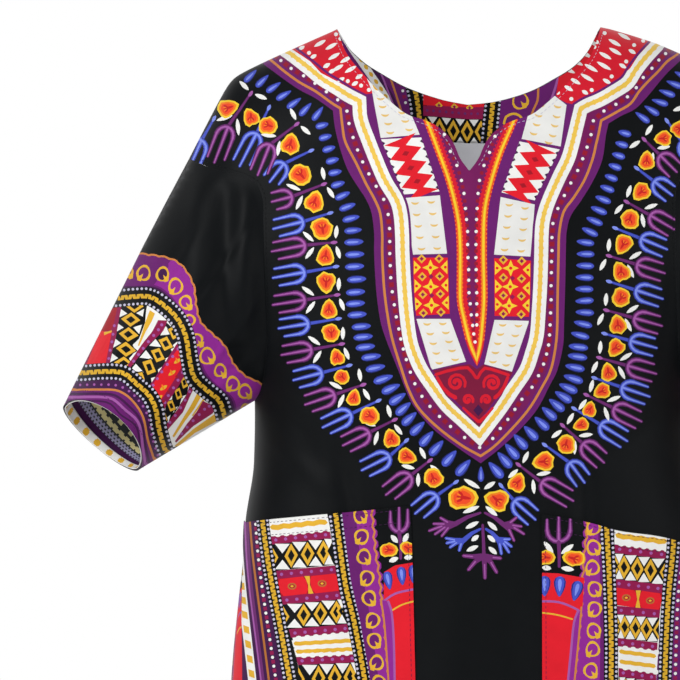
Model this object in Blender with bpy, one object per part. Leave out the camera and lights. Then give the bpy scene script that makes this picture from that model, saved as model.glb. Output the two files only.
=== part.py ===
"""Dashiki shirt: printed cotton tunic in its worn form, hollow, with nobody inside.

Metres, +Z up, front towards -Y.  The origin is midway between the shoulder points, level with them.
Cut pieces: front, back, two sleeves, back neck facing, label and two patch pockets; the turned
hem of each cuff is a ring of its own.
"""
import math

import bpy
import numpy as np
from mathutils import Vector
from mathutils.geometry import delaunay_2d_cdt

for leftover in list(bpy.data.objects):
    bpy.data.objects.remove(leftover, do_unlink=True)

MM = 0.001

# Cloth and seams
WALL = 1.5 * MM
PATCH_WALL = 1.2 * MM
GAP = 0.3 * MM
FRONT_GRID = 20.0 * MM
BACK_GRID = 24.0 * MM

# Shoulder line
NECK_POINT_X = 116.3 * MM
NECK_POINT_Z = 42.2 * MM
SHOULDER_X = 210.3 * MM
SHOULDER_FALL = 0.471
CAP_FALL = 1.507
CENTRE_ROUND = 50.0 * MM
SHOULDER_ROUND = 6.0 * MM
SHOULDER_ROLL = 100.0 * MM
ROLL_ARC = 90.0 * MM
QUARTER = math.pi / 2
GIRTH_RADIUS = 200.0 * MM

# Length
HEM_Z = -703.0 * MM
UNDERARM_Z = -286.0 * MM

# Body sections, mm: height, half width, front depth, back depth, squareness, side seam swing (rad)
SECTION_TABLE = (
    # z, half, front, back, square, swing
    (60.0, 262.0, 74.0, 84.0, 0.08, 0.0),
    (0.0, 264.0, 76.0, 86.0, 0.08, 0.0),
    (-72.0, 263.0, 84.0, 92.0, 0.08, 0.0),
    (-109.0, 254.0, 92.0, 94.0, 0.08, 0.0),
    (-170.0, 230.0, 108.0, 94.0, 0.08, 0.0),
    (-232.0, 206.0, 112.0, 90.0, 0.10, 0.0),
    (-286.0, 193.6, 108.0, 86.0, 0.14, 0.0),
    (-340.0, 195.5, 100.0, 84.0, 0.18, 0.0),
    (-392.0, 204.0, 98.0, 88.0, 0.22, 0.0),
    (-426.0, 206.5, 101.0, 93.0, 0.24, 0.15),
    (-461.0, 210.5, 104.0, 98.0, 0.25, 0.27),
    (-531.0, 217.0, 109.0, 105.0, 0.25, 0.42),
    (-703.0, 224.0, 114.0, 110.0, 0.25, 0.50),
)

# Necklines, mm, half of each, from the neck point to the centre
FRONT_NECK_TABLE = (
    # x, z
    (116.3, 42.2),
    (109.0, 22.0),
    (92.0, 0.0),
    (71.0, -21.5),
    (52.0, -35.5),
    (41.5, -38.5),
)
NOTCH_TABLE = (
    # x, z
    (41.5, -38.5),
    (27.0, -56.0),
    (13.0, -72.0),
    (0.5, -83.0),
)
BACK_NECK_TABLE = (
    # x, z
    (116.3, 42.2),
    (106.0, 18.0),
    (86.0, 0.5),
    (56.0, -13.5),
    (28.0, -20.0),
    (0.0, -22.5),
)

# Armholes, mm, from the ridge of the cap round to the underarm
ARMHOLE_TABLE = (
    # front x, front z, back x, back z
    (246.8, -72.2, 246.8, -72.2),
    (222.2, -82.5, 228.0, -80.0),
    (200.2, -88.0, 212.0, -88.5),
    (185.5, -97.0, 201.5, -101.0),
    (180.8, -113.0, 198.0, -122.0),
    (180.8, -170.0, 194.0, -172.0),
    (180.8, -232.0, 190.5, -228.0),
    (184.0, -260.0, 189.8, -262.0),
    (189.5, -280.0, 191.4, -279.0),
    (193.6, -286.0, 193.6, -286.0),
)
ARMHOLE_STEPS = 17

# Cuff ring: the two ends of its width and how far it stands out each way
CUFF_TOP = (362.1 * MM, -22.0 * MM, -290.4 * MM)
CUFF_LOW = (297.0 * MM, -22.0 * MM, -346.7 * MM)
CUFF_FRONT_DEPTH = 76.0 * MM
CUFF_FRONT_LIFT = 25.0 * MM
CUFF_BACK_DEPTH = 60.0 * MM
CUFF_BACK_DROP = 5.0 * MM
CUFF_HEM_SHARE = 0.036
SLEEVE_ROWS = (0.0, 0.05, 0.13, 0.22, 0.32, 0.43, 0.54, 0.65, 0.76, 0.87, 1.0 - CUFF_HEM_SHARE, 1.0)

# Waist darts, mm, with the pinch they draw in
DART_TABLE = (
    # x top, z top, x low, z low
    (-123.6, -312.0, -112.0, -386.0),
    (93.7, -310.0, 93.7, -393.0),
)
DART_PINCH = 3.2 * MM
DART_SPREAD = 7.0 * MM

# Flutes that open towards the hem, mm
FLUTE_TABLE = (
    # x, lean, spread, height front, height back
    (-178.0, -0.08, 24.0, 5.0, 4.0),
    (-104.0, -0.05, 27.0, -4.5, 5.0),
    (-30.0, -0.02, 26.0, 4.0, -5.0),
    (38.0, 0.03, 25.0, -3.5, 4.5),
    (108.0, 0.06, 28.0, 4.5, -4.0),
    (176.0, 0.08, 23.0, -4.0, 5.0),
)
FLUTE_START_Z = -330.0 * MM

# Sleeve folds, mm, on the front of the sleeve: they hang from the armhole seam
SLEEVE_FOLD_TABLE = (
    # x top, z top, x low, z low, spread, height
    (196.0, -92.0, 199.0, -228.0, 9.0, 3.0),
    (213.0, -86.0, 217.0, -215.0, 9.0, -3.6),
    (232.0, -82.0, 252.0, -240.0, 11.0, 2.8),
    (206.0, -236.0, 192.0, -262.0, 9.0, -3.4),
    (262.0, -205.0, 300.0, -300.0, 13.0, -3.0),
)

# Patch pockets, mm: top edge from the centre outwards
RIGHT_POCKET_TOP = ((-58.5, -377.5), (-91.0, -381.0), (-150.0, -387.0), (-198.0, -392.0))
LEFT_POCKET_TOP = ((55.9, -384.6), (94.6, -391.6), (125.4, -400.4), (155.3, -404.5), (199.0, -416.0))
RIGHT_POCKET_INNER_LOW_X = -54.0 * MM
LEFT_POCKET_INNER_LOW_X = 56.0 * MM
POCKET_LOW_Z = -572.0 * MM
POCKET_SEAM_MARGIN = 0.012
POCKET_GAPE = 2.6 * MM
POCKET_GAPE_LENGTH = 60.0 * MM

# Facing and label
FACING_DEPTH = 72.0 * MM
FACING_SEAM_STEPS = 4
LABEL_HALF_WIDTH = 15.0 * MM
LABEL_CENTRE_X = -6.5 * MM
LABEL_TOP_Z = -57.0 * MM
LABEL_LOW_Z = -86.0 * MM


def monotone(table, column, at):
    """Smooth value of a table column, with no overshoot between its rows."""
    order = np.argsort([row[0] for row in table])
    knots = np.array([table[i][0] for i in order]) * MM
    values = np.array([table[i][column] for i in order])
    step = np.diff(knots)
    slope = np.diff(values) / step
    tangent = np.zeros(len(knots))
    tangent[0] = slope[0]
    tangent[-1] = slope[-1]
    for i in range(1, len(knots) - 1):
        if slope[i - 1] * slope[i] > 0:
            first = 2 * step[i] + step[i - 1]
            second = step[i] + 2 * step[i - 1]
            tangent[i] = (first + second) / (first / slope[i - 1] + second / slope[i])
    at = np.clip(at, knots[0], knots[-1])
    i = np.clip(np.searchsorted(knots, at, side="right") - 1, 0, len(step) - 1)
    t = (at - knots[i]) / step[i]
    value = (1 + 2 * t) * (1 - t) ** 2 * values[i] + t ** 2 * (3 - 2 * t) * values[i + 1]
    value += t * (1 - t) ** 2 * step[i] * tangent[i]
    value += t ** 2 * (t - 1) * step[i] * tangent[i + 1]
    return value


def half_width(z):
    return monotone(SECTION_TABLE, 1, z) * MM


def front_depth(z):
    return monotone(SECTION_TABLE, 2, z) * MM


def back_depth(z):
    return monotone(SECTION_TABLE, 3, z) * MM


def squareness(z):
    return monotone(SECTION_TABLE, 4, z)


def seam_angle(z):
    """Angle of the side seam round the body; it swings forwards below the waist."""
    return QUARTER - monotone(SECTION_TABLE, 5, z)


def ridge_height(x):
    """Height of the shoulder line, with its fall over the cap of the arm."""
    run = np.sqrt(x ** 2 + CENTRE_ROUND ** 2) - math.hypot(NECK_POINT_X, CENTRE_ROUND)
    past = np.abs(x) - SHOULDER_X
    over = 0.5 * (past + np.sqrt(past ** 2 + SHOULDER_ROUND ** 2))
    return NECK_POINT_Z - SHOULDER_FALL * run - CAP_FALL * over


def body_point(angle, fall):
    """Point on the body; angle 0 is centre front, fall is the cloth's way down from the ridge."""
    angle = np.asarray(angle, dtype=float)
    fall = np.asarray(fall, dtype=float)
    roll = np.clip(fall / ROLL_ARC, 0.0, QUARTER)
    drop = SHOULDER_ROLL * (1 - np.cos(roll)) + np.maximum(fall - ROLL_ARC * QUARTER, 0.0)
    sine = np.sin(angle)
    cosine = np.cos(angle)
    x = sine * SHOULDER_X
    for _ in range(40):
        z = ridge_height(x) - drop
        x = half_width(z) * sine * (1 + squareness(z) * cosine ** 2)
    z = ridge_height(x) - drop
    depth = np.where(cosine > 0, front_depth(z), back_depth(z))
    y = -depth * cosine * (1 + squareness(z) * sine ** 2) * np.sin(roll)
    return np.stack([x, y, z], axis=-1)


def body_place(x, z, back=False):
    """Angle and fall of the cloth point whose front view place is x, z."""
    x = np.asarray(x, dtype=float)
    z = np.asarray(z, dtype=float)
    drop = np.maximum(ridge_height(x) - z, 0.0)
    roll = np.arccos(np.clip(1 - drop / SHOULDER_ROLL, 0.0, 1.0))
    fall = ROLL_ARC * roll + np.maximum(drop - SHOULDER_ROLL, 0.0)
    ratio = np.clip(np.abs(x) / half_width(z), 0.0, 1.0)
    low = np.zeros_like(ratio)
    high = np.ones_like(ratio)
    for _ in range(45):
        middle = (low + high) / 2
        short = middle * (1 + squareness(z) * (1 - middle ** 2)) < ratio
        low = np.where(short, middle, low)
        high = np.where(short, high, middle)
    angle = np.arcsin((low + high) / 2)
    if back:
        angle = math.pi - angle
    return np.sign(x) * angle + (x == 0) * (math.pi if back else 0.0), fall


def bump(distance, spread):
    return np.exp(-(distance / spread) ** 2)


def ease(value):
    value = np.clip(value, 0.0, 1.0)
    return value * value * (3 - 2 * value)


def body_folds(point):
    """Height of the folds over the smooth body: darts in front, flutes towards the hem."""
    x = point[..., 0]
    z = point[..., 2]
    front = point[..., 1] < 0
    height = np.zeros_like(x)
    opening = ease((FLUTE_START_Z - z) / (FLUTE_START_Z - HEM_Z))
    for line, lean, spread, rise_front, rise_back in FLUTE_TABLE:
        centre = line * MM + lean * (HEM_Z - z)
        rise = np.where(front, rise_front, rise_back) * MM
        height = height + rise * opening * bump(x - centre, spread * MM)
    for top_x, top_z, low_x, low_z in DART_TABLE:
        along = (top_z * MM - z) / ((top_z - low_z) * MM)
        centre = (top_x + (low_x - top_x) * np.clip(along, 0, 1)) * MM
        pinch = ease(along / 0.6) * ease((1.25 - along) / 0.25)
        height = height - np.where(front, 1.0, 0.0) * DART_PINCH * pinch * bump(x - centre, DART_SPREAD)
    sides = ease((half_width(z) - np.abs(x)) / (18 * MM))
    return height * sides


def unit(vectors):
    return vectors / np.linalg.norm(vectors, axis=-1, keepdims=True)


def body_normal(angle, fall):
    """Outward direction of the smooth body."""
    nudge = 0.004
    low = np.maximum(fall - 0.8 * MM, 0.0)
    across = body_point(angle + nudge, fall) - body_point(angle - nudge, fall)
    down = body_point(angle, low + 1.6 * MM) - body_point(angle, low)
    return unit(np.cross(across, down)) * -1.0


def smooth_run(points, pieces):
    """Points evenly spaced along a smooth line through a table of places (mm)."""
    line = np.array(points) * MM
    chord = np.concatenate([[0.0], np.cumsum(np.linalg.norm(np.diff(line, axis=0), axis=1))])
    fine = np.linspace(0, chord[-1], 400)
    rows = [[1000 * c] + list(p / MM) for c, p in zip(chord, line)]
    curve = np.stack([monotone(rows, i + 1, fine) * MM for i in range(line.shape[1])], axis=-1)
    length = np.concatenate([[0.0], np.cumsum(np.linalg.norm(np.diff(curve, axis=0), axis=1))])
    even = np.linspace(0, length[-1], pieces + 1)
    return np.stack([np.interp(even, length, curve[:, i]) for i in range(line.shape[1])], axis=-1)


def inside(points, loop):
    """Which points lie inside a closed loop."""
    result = np.zeros(len(points), dtype=bool)
    following = np.roll(loop, -1, axis=0)
    for (ax, ay), (bx, by) in zip(loop, following):
        if ay == by:
            continue
        crosses = (ay > points[:, 1]) != (by > points[:, 1])
        reach = ax + (points[:, 1] - ay) * (bx - ax) / (by - ay)
        result ^= crosses & (points[:, 0] < reach)
    return result


def clearance(points, loop):
    """Distance of each point from a closed loop."""
    best = np.full(len(points), 1e9)
    following = np.roll(loop, -1, axis=0)
    for start, end in zip(loop, following):
        run = end - start
        span = max(float(run @ run), 1e-18)
        t = np.clip((points - start) @ run / span, 0, 1)
        best = np.minimum(best, np.linalg.norm(points - start - t[:, None] * run, axis=1))
    return best


def cut_piece(loop, grid, marks=(), patches=()):
    """Triangles of a flat piece from its outline, a staggered grid, marked lines and patch outlines."""
    low = loop.min(axis=0)
    high = loop.max(axis=0)
    places = []
    rows = int((high[1] - low[1]) / (grid * 0.87)) + 2
    columns = int((high[0] - low[0]) / grid) + 3
    for row in range(rows):
        for column in range(-columns, columns):
            shift = 0.5 * (row % 2)
            places.append(((column + shift) * grid, low[1] + row * grid * 0.87))
    places = np.array(places)
    places = places[inside(places, loop)]
    for line in (loop, *patches):
        places = places[clearance(places, line) > 0.45 * grid]
    for mark in marks:
        mark = np.array(mark)
        apart = np.linalg.norm(places[:, None, :] - mark[None, :, :], axis=2).min(axis=1)
        places = places[apart > 0.5 * grid]
        for line in (loop, *patches):
            mark = mark[clearance(mark, line) > 0.2 * grid]
        places = np.concatenate([places, mark[inside(mark, loop)]])
    corners = np.concatenate([loop, *patches, places])
    rims = []
    start = 0
    for line in (loop, *patches):
        rims.append(list(range(start, start + len(line))))
        start += len(line)
    everything = [Vector((float(u), float(v))) for u, v in corners]
    verts, _, faces, _, _, _ = delaunay_2d_cdt(everything, [], rims, 1, 1e-7)
    return np.array([[v.x, v.y] for v in verts]), [list(face) for face in faces]


def lying_inside(flat, faces, loop):
    """The part of a panel's own triangles that lies inside a patch outline."""
    centres = flat[np.array(faces)].mean(axis=1)
    kept = [face for face, held in zip(faces, inside(centres, loop)) if held]
    used = sorted({i for face in kept for i in face})
    place = {old: new for new, old in enumerate(used)}
    return flat[used], [[place[i] for i in face] for face in kept]


def colour_material(name, colour, roughness):
    material = bpy.data.materials.new(name)
    material.use_nodes = True
    shader = material.node_tree.nodes["Principled BSDF"]
    shader.inputs["Base Color"].default_value = (*colour, 1.0)
    shader.inputs["Roughness"].default_value = roughness
    material.diffuse_color = (*colour, 1.0)
    return material


def add_solid(name, outer, inner, faces, colour):
    """Closed solid between two matching skins."""
    count = len(outer)
    used = {}
    for face in faces:
        for a, b in zip(face, face[1:] + face[:1]):
            used[(a, b)] = True
    solid_faces = [list(face) for face in faces]
    solid_faces += [[count + i for i in reversed(face)] for face in faces]
    for a, b in used:
        if (b, a) not in used:
            solid_faces.append([b, a, count + a])
            solid_faces.append([b, count + a, count + b])
    points = np.concatenate([outer, inner])
    volume = 0.0
    for face in solid_faces:
        for i in range(1, len(face) - 1):
            volume += float(np.dot(points[face[0]], np.cross(points[face[i]], points[face[i + 1]])))
    if volume < 0:
        solid_faces = [list(reversed(face)) for face in solid_faces]
    mesh = bpy.data.meshes.new(name)
    mesh.from_pydata([tuple(p) for p in points], [], solid_faces)
    mesh.materials.append(colour_material(name, colour, 0.85))
    mesh.update()
    bpy.context.scene.collection.objects.link(bpy.data.objects.new(name, mesh))


def to_flat(angle, fall, back):
    centre = math.pi if back else 0.0
    turn = np.where(angle < 0, angle + centre, angle - centre) if back else angle
    return np.stack([turn * GIRTH_RADIUS, -fall], axis=-1)


def from_flat(flat, back):
    angle = flat[:, 0] / GIRTH_RADIUS
    if back:
        angle = angle + math.pi
    return angle, -flat[:, 1]


def armhole_run(back):
    """Armhole seam of one half, from the ridge to the underarm, as x and z."""
    columns = (2, 3) if back else (0, 1)
    return smooth_run([[row[columns[0]], row[columns[1]]] for row in ARMHOLE_TABLE], ARMHOLE_STEPS)


def seam_run(pieces):
    """Heights down the side seam."""
    return np.linspace(UNDERARM_Z, HEM_Z, pieces + 1)


def side_line(side, back, heights):
    """Flat places down one side seam, half a seam gap back from it."""
    step = 0.0017 if back else -0.0017
    angle = seam_angle(heights) + step
    x = half_width(heights) * np.sin(angle) * (1 + squareness(heights) * np.cos(angle) ** 2)
    drop = ridge_height(x) - heights
    fall = ROLL_ARC * QUARTER + drop - SHOULDER_ROLL
    return to_flat(side * angle, fall, back)


def hem_line(back, pieces):
    """Flat places along the hem from the wearer's right side seam to the left one."""
    limit = float(seam_angle(np.array(HEM_Z)))
    if back:
        turn = math.pi - limit - 0.0017
    else:
        turn = limit - 0.0017
    turns = np.linspace(-turn, turn, pieces + 1)
    angle = turns + (math.pi if back else 0.0)
    x = half_width(HEM_Z) * np.sin(angle) * (1 + squareness(HEM_Z) * np.cos(angle) ** 2)
    drop = ridge_height(x) - HEM_Z
    fall = ROLL_ARC * QUARTER + drop - SHOULDER_ROLL
    return np.stack([turns * GIRTH_RADIUS, -fall], axis=-1)


def place_run(run, side, back):
    """Flat places of a half outline given as x and z, on one side."""
    angle, fall = body_place(run[:, 0], run[:, 1], back)
    flat = to_flat(angle, fall, back)
    mirror = -1.0 if back else 1.0
    flat[:, 0] *= side * mirror
    return flat


def half_outline(back):
    """Outline of the right half of a panel, flat, from the neck centre round to the hem."""
    if back:
        neck = smooth_run(BACK_NECK_TABLE, 11)[::-1]
    else:
        curve = smooth_run(FRONT_NECK_TABLE, 8)
        notch = smooth_run(NOTCH_TABLE, 5)
        neck = np.concatenate([curve, notch[1:]])[::-1]
    ridge_x = np.linspace(NECK_POINT_X, 246.8 * MM, 11)
    ridge = np.stack([ridge_x, ridge_height(ridge_x)], axis=-1)
    hole = armhole_run(back)
    neck_flat = place_run(neck, 1, back)
    ridge_flat = place_run(ridge, 1, back)
    ridge_flat[:, 1] = 0.0
    hole_flat = place_run(hole, 1, back)
    hole_flat[0, 1] = 0.0
    side_flat = side_line(1, back, seam_run(22))
    if back:
        side_flat[:, 0] *= -1.0
    return neck_flat, ridge_flat[1:], hole_flat[1:-1], side_flat


def mirror_loop(parts, hem, back):
    """Whole outline from its right half and the hem."""
    right = np.concatenate(parts)
    left = right[::-1] * np.array([-1.0, 1.0])
    if abs(right[0, 0]) < 1e-9:
        left = left[:-1]
    hem = hem[1:-1]
    if hem[0, 0] < 0:
        hem = hem[::-1]
    return np.concatenate([right, hem, left])


def body_skins(flat, back, lift, wall, mouth=None):
    """Outer and inner skins of a piece lying at a height over the body cloth."""
    angle, fall = from_flat(flat, back)
    base = body_point(angle, fall)
    normal = body_normal(angle, fall)
    ridge = fall < 0.02 * MM
    normal[ridge, 1] = 0.0
    normal = unit(normal)
    height = body_folds(base) + lift
    if mouth is not None:
        height = height + pocket_gape(base, mouth)
    outer = base + normal * height[:, None]
    inner = outer - normal * wall
    away = 0.5 * GAP if back else -0.5 * GAP
    outer[ridge, 1] = away
    inner[ridge, 1] = away
    return outer, inner


def dart_marks():
    """Flat points along each dart and just beside it."""
    marks = []
    for top_x, top_z, low_x, low_z in DART_TABLE:
        for beside in (-11.0, 0.0, 11.0):
            t = np.linspace(0.0, 1.0, 8)
            x = (top_x + (low_x - top_x) * t + beside) * MM
            z = (top_z + (low_z - top_z) * t) * MM
            angle, fall = body_place(x, z)
            marks.append(to_flat(angle, fall, False))
    return marks


def build_panel(name, back, grid, marks, patches, colour):
    """Front or back; its flat triangles are handed on to the pieces that lie on it."""
    loop = mirror_loop(half_outline(back), hem_line(back, 40), back)
    flat, faces = cut_piece(loop, grid, marks, patches)
    outer, inner = body_skins(flat, back, 0.0, WALL)
    add_solid(name, outer, inner, faces, colour)
    return flat, faces


def sleeve_folds(point):
    """Folds hanging on the front of the sleeve."""
    x = np.abs(point[..., 0])
    z = point[..., 2]
    height = np.zeros_like(x)
    for top_x, top_z, low_x, low_z, spread, rise in SLEEVE_FOLD_TABLE:
        along = (top_z * MM - z) / ((top_z - low_z) * MM)
        centre = (top_x + (low_x - top_x) * along) * MM
        shape = ease((along + 0.10) / 0.3) * ease((1.15 - along) / 0.35)
        height = height + rise * MM * shape * bump(x - centre, spread * MM)
    front = ease((-12 * MM - point[..., 1]) / (22 * MM))
    return height * front


def armhole_ring(side):
    """Seam ring of one sleeve: points, body normals and the way off the body."""
    rings = []
    for back in (False, True):
        run = armhole_run(back)
        angle, fall = body_place(run[:, 0], run[:, 1], back)
        fall[0] = 0.0
        point = body_point(angle, fall)
        point[-1, 1] = 0.0
        normal = body_normal(angle, fall)
        normal[0, 1] = 0.0
        normal[-1] = (1.0, 0.0, 0.0)
        point = point + normal * body_folds(point)[:, None]
        rings.append((point, unit(normal)))
    front, back = rings
    point = np.concatenate([front[0], back[0][1:-1][::-1]])
    normal = np.concatenate([front[1], back[1][1:-1][::-1]])
    along = np.roll(point, -1, axis=0) - np.roll(point, 1, axis=0)
    away = unit(np.cross(along, normal))
    centre = point.mean(axis=0)
    if np.sum(away * (point - centre)) > 0:
        away = -away
    point[:, 0] *= side
    normal[:, 0] *= side
    away[:, 0] *= side
    return point, normal, away


def cuff_ring(side):
    """Free edge of a sleeve, matched point for point to its seam ring."""
    top = np.array(CUFF_TOP)
    low = np.array(CUFF_LOW)
    middle = (top + low) / 2
    half = (low - top) / 2
    lift = np.array([-half[2], 0.0, half[0]])
    lift = -lift / np.linalg.norm(lift) * np.sign(half[0])
    if lift[2] < 0:
        lift = -lift
    count = ARMHOLE_STEPS
    turns = [math.pi * i / count for i in range(2 * count)]
    points = []
    for turn in turns:
        reach = math.sin(turn)
        point = middle - half * math.cos(turn)
        if reach >= 0:
            point = point + lift * CUFF_FRONT_LIFT * reach
            point[1] -= CUFF_FRONT_DEPTH * reach
        else:
            point = point + lift * CUFF_BACK_DROP * reach
            point[1] -= CUFF_BACK_DEPTH * reach
        points.append(point)
    points = np.array(points)
    points[:, 0] *= side
    return points


def ring_normals(rings, side):
    """Outward direction at each point of a stack of rings."""
    rows = len(rings)
    normals = []
    for j in range(rows):
        around = np.roll(rings[j], -1, axis=0) - np.roll(rings[j], 1, axis=0)
        along = rings[min(j + 1, rows - 1)] - rings[max(j - 1, 0)]
        normal = unit(np.cross(around, along))
        centre = rings[j].mean(axis=0)
        if np.sum(normal * (rings[j] - centre)) < 0:
            normal = -normal
        normals.append(normal)
    return normals


def sleeve_rings(side, fractions):
    seam, seam_normal, away = armhole_ring(side)
    seam = seam + away * GAP
    cuff = cuff_ring(side)
    straight = [seam + (cuff - seam) * f for f in fractions]
    normals = ring_normals(straight, side)
    normals[0] = seam_normal
    return straight, normals


def ring_faces(rows, count):
    faces = []
    for j in range(rows - 1):
        for i in range(count):
            a = j * count + i
            b = j * count + (i + 1) % count
            faces.append([a, b, b + count])
            faces.append([a, b + count, a + count])
    return faces


def build_sleeve(name, hem_name, side, colour, hem_colour):
    """Sleeve, and the turned edge lying inside its cuff."""
    rings, normals = sleeve_rings(side, SLEEVE_ROWS)
    outer = []
    for fraction, ring, normal in zip(SLEEVE_ROWS, rings, normals):
        height = sleeve_folds(ring) * (1.0 if fraction > 0 else 0.0)
        outer.append(ring + normal * height[:, None])
    inner = [skin - normal * WALL for skin, normal in zip(outer, normals)]
    faces = ring_faces(len(rings), len(rings[0]))
    add_solid(name, np.concatenate(outer), np.concatenate(inner), faces, colour)
    near = [skin - normal * GAP for skin, normal in zip(inner[-2:], normals[-2:])]
    far = [skin - normal * PATCH_WALL for skin, normal in zip(near, normals[-2:])]
    faces = ring_faces(2, len(rings[0]))
    add_solid(hem_name, np.concatenate(near), np.concatenate(far), faces, hem_colour)


def facing_outline():
    """Band inside the back neck: the neckline, the shoulder seam and a curve below."""
    neck, ridge, _, _ = half_outline(True)
    seam = ridge[:FACING_SEAM_STEPS]
    lowest = neck[0] + np.array([0.0, -FACING_DEPTH])
    turn = np.linspace(0.0, QUARTER, 9)
    low_x = seam[-1, 0] * np.cos(turn)
    low_fall = lowest[1] * np.sin(turn) ** 0.8
    curve = np.stack([low_x, low_fall], axis=-1)
    right = np.concatenate([neck, seam, curve[1:]])
    left = right[1:-1][::-1] * np.array([-1.0, 1.0])
    return np.concatenate([right, left])


def label_outline():
    """Upright rectangle of the blank label, seen in front view."""
    pieces = 3
    xs = np.linspace(LABEL_CENTRE_X - LABEL_HALF_WIDTH, LABEL_CENTRE_X + LABEL_HALF_WIDTH, pieces + 1)
    zs = np.linspace(LABEL_LOW_Z, LABEL_TOP_Z, pieces + 1)
    x = np.concatenate([xs[:-1], np.full(pieces, xs[-1]), xs[::-1][:-1], np.full(pieces, xs[0])])
    z = np.concatenate([np.full(pieces, zs[0]), zs[:-1], np.full(pieces, zs[-1]), zs[::-1][:-1]])
    angle, fall = body_place(x, z, True)
    return to_flat(angle, fall, True)


def pocket_outline(top_table, inner_low_x):
    """Patch pocket caught in the side seam: mouth, seam side, bottom and inner edge."""
    side = 1.0 if inner_low_x > 0 else -1.0
    top = smooth_run(top_table, 8)
    heights = np.linspace(top[-1, 1], POCKET_LOW_Z, 11)
    margin = seam_angle(heights) - POCKET_SEAM_MARGIN
    outer_x = half_width(heights) * np.sin(margin) * (1 + squareness(heights) * np.cos(margin) ** 2)
    outer_run = np.stack([side * outer_x, heights], axis=-1)
    low_x = np.linspace(outer_run[-1, 0], inner_low_x, 9)
    low_run = np.stack([low_x, np.full(9, POCKET_LOW_Z)], axis=-1)
    inner_z = np.linspace(POCKET_LOW_Z, top[0, 1], 11)
    inner_run = np.stack([np.linspace(inner_low_x, top[0, 0], 11), inner_z], axis=-1)
    whole = np.concatenate([top[:-1], outer_run, low_run[1:], inner_run[1:-1]])
    angle, fall = body_place(whole[:, 0], whole[:, 1])
    return to_flat(angle, fall, False)


def pocket_gape(base, top_table):
    """How far a pocket's mouth stands off the panel."""
    top = smooth_run(top_table, 8)
    x = np.abs(base[:, 0])
    mouth = np.interp(x, np.abs(top[:, 0]), top[:, 1])
    down = np.clip((mouth - base[:, 2]) / POCKET_GAPE_LENGTH, 0.0, 1.0)
    span = (x - abs(top[0, 0])) / (abs(top[-1, 0]) - abs(top[0, 0]))
    across = np.sin(math.pi * np.clip(span, 0.0, 1.0))
    return POCKET_GAPE * across * (1 - ease(down))


def build_pocket(name, panel, top_table, inner_low_x, colour):
    flat, faces = lying_inside(*panel, pocket_outline(top_table, inner_low_x))
    outer, inner = body_skins(flat, False, GAP + PATCH_WALL, PATCH_WALL, top_table)
    add_solid(name, outer, inner, faces, colour)


def build_inside(name, panel, outline, lift, colour):
    """Piece lying on the inside of the back."""
    flat, faces = lying_inside(*panel, outline)
    outer, inner = body_skins(flat, True, lift, PATCH_WALL)
    add_solid(name, outer, inner, faces, colour)


BLACK = (0.012, 0.014, 0.016)
PURPLE = (0.17, 0.02, 0.20)
RED = (0.78, 0.03, 0.05)
CREAM = (0.85, 0.82, 0.75)
CRIMSON = (0.30, 0.01, 0.05)

right_pocket = pocket_outline(RIGHT_POCKET_TOP, RIGHT_POCKET_INNER_LOW_X)
left_pocket = pocket_outline(LEFT_POCKET_TOP, LEFT_POCKET_INNER_LOW_X)
facing = facing_outline()
label = label_outline()
front = build_panel("front", False, FRONT_GRID, dart_marks(), (right_pocket, left_pocket), BLACK)
back = build_panel("back", True, BACK_GRID, (), (facing, label), BLACK)
build_sleeve("sleeve_right", "cuff_hem_right", -1.0, BLACK, CREAM)
build_sleeve("sleeve_left", "cuff_hem_left", 1.0, BLACK, CREAM)
build_inside("back_neck_facing", back, facing, -(WALL + GAP), CRIMSON)
build_inside("label", back, label, -(WALL + PATCH_WALL + 2 * GAP), CREAM)
build_pocket("pocket_right", front, RIGHT_POCKET_TOP, RIGHT_POCKET_INNER_LOW_X, RED)
build_pocket("pocket_left", front, LEFT_POCKET_TOP, LEFT_POCKET_INNER_LOW_X, RED)
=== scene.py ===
"""Dashiki shirt: the cloth, its wax print, its stitching, the light and the camera.

Metres, +Z up, front towards -Y.  The print is charted on squares of 0.88 mm, x to the right and
y down in front view, and every motif is laid out flat before the cloth is shaped.
"""

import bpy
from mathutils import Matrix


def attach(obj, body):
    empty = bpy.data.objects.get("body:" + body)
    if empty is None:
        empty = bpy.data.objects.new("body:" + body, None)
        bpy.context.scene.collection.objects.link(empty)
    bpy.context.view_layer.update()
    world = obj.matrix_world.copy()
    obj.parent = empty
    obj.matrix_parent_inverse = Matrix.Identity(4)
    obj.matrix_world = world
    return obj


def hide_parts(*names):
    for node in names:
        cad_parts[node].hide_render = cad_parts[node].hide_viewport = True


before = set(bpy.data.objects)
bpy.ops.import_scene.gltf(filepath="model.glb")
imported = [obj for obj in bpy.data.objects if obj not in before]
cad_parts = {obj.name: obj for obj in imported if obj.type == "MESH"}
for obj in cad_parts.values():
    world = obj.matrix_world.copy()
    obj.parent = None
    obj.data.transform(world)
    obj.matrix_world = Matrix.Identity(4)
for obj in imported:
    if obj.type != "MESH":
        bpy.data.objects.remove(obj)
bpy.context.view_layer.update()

import math

import bpy
import numpy as np
from mathutils import Vector
from mathutils.geometry import delaunay_2d_cdt

MM = 0.001

# ---------------------------------------------------------------- shape of the shirt

WALL = 1.5 * MM
PATCH_WALL = 1.2 * MM
GAP = 0.3 * MM
CLOTH = 0.8 * MM

NECK_POINT_X = 116.3 * MM
NECK_POINT_Z = 42.2 * MM
SHOULDER_X = 210.3 * MM
SHOULDER_FALL = 0.471
CAP_FALL = 1.507
CENTRE_ROUND = 50.0 * MM
SHOULDER_ROUND = 6.0 * MM
SHOULDER_ROLL = 100.0 * MM
ROLL_ARC = 90.0 * MM
QUARTER = math.pi / 2
GIRTH_RADIUS = 200.0 * MM
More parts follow.
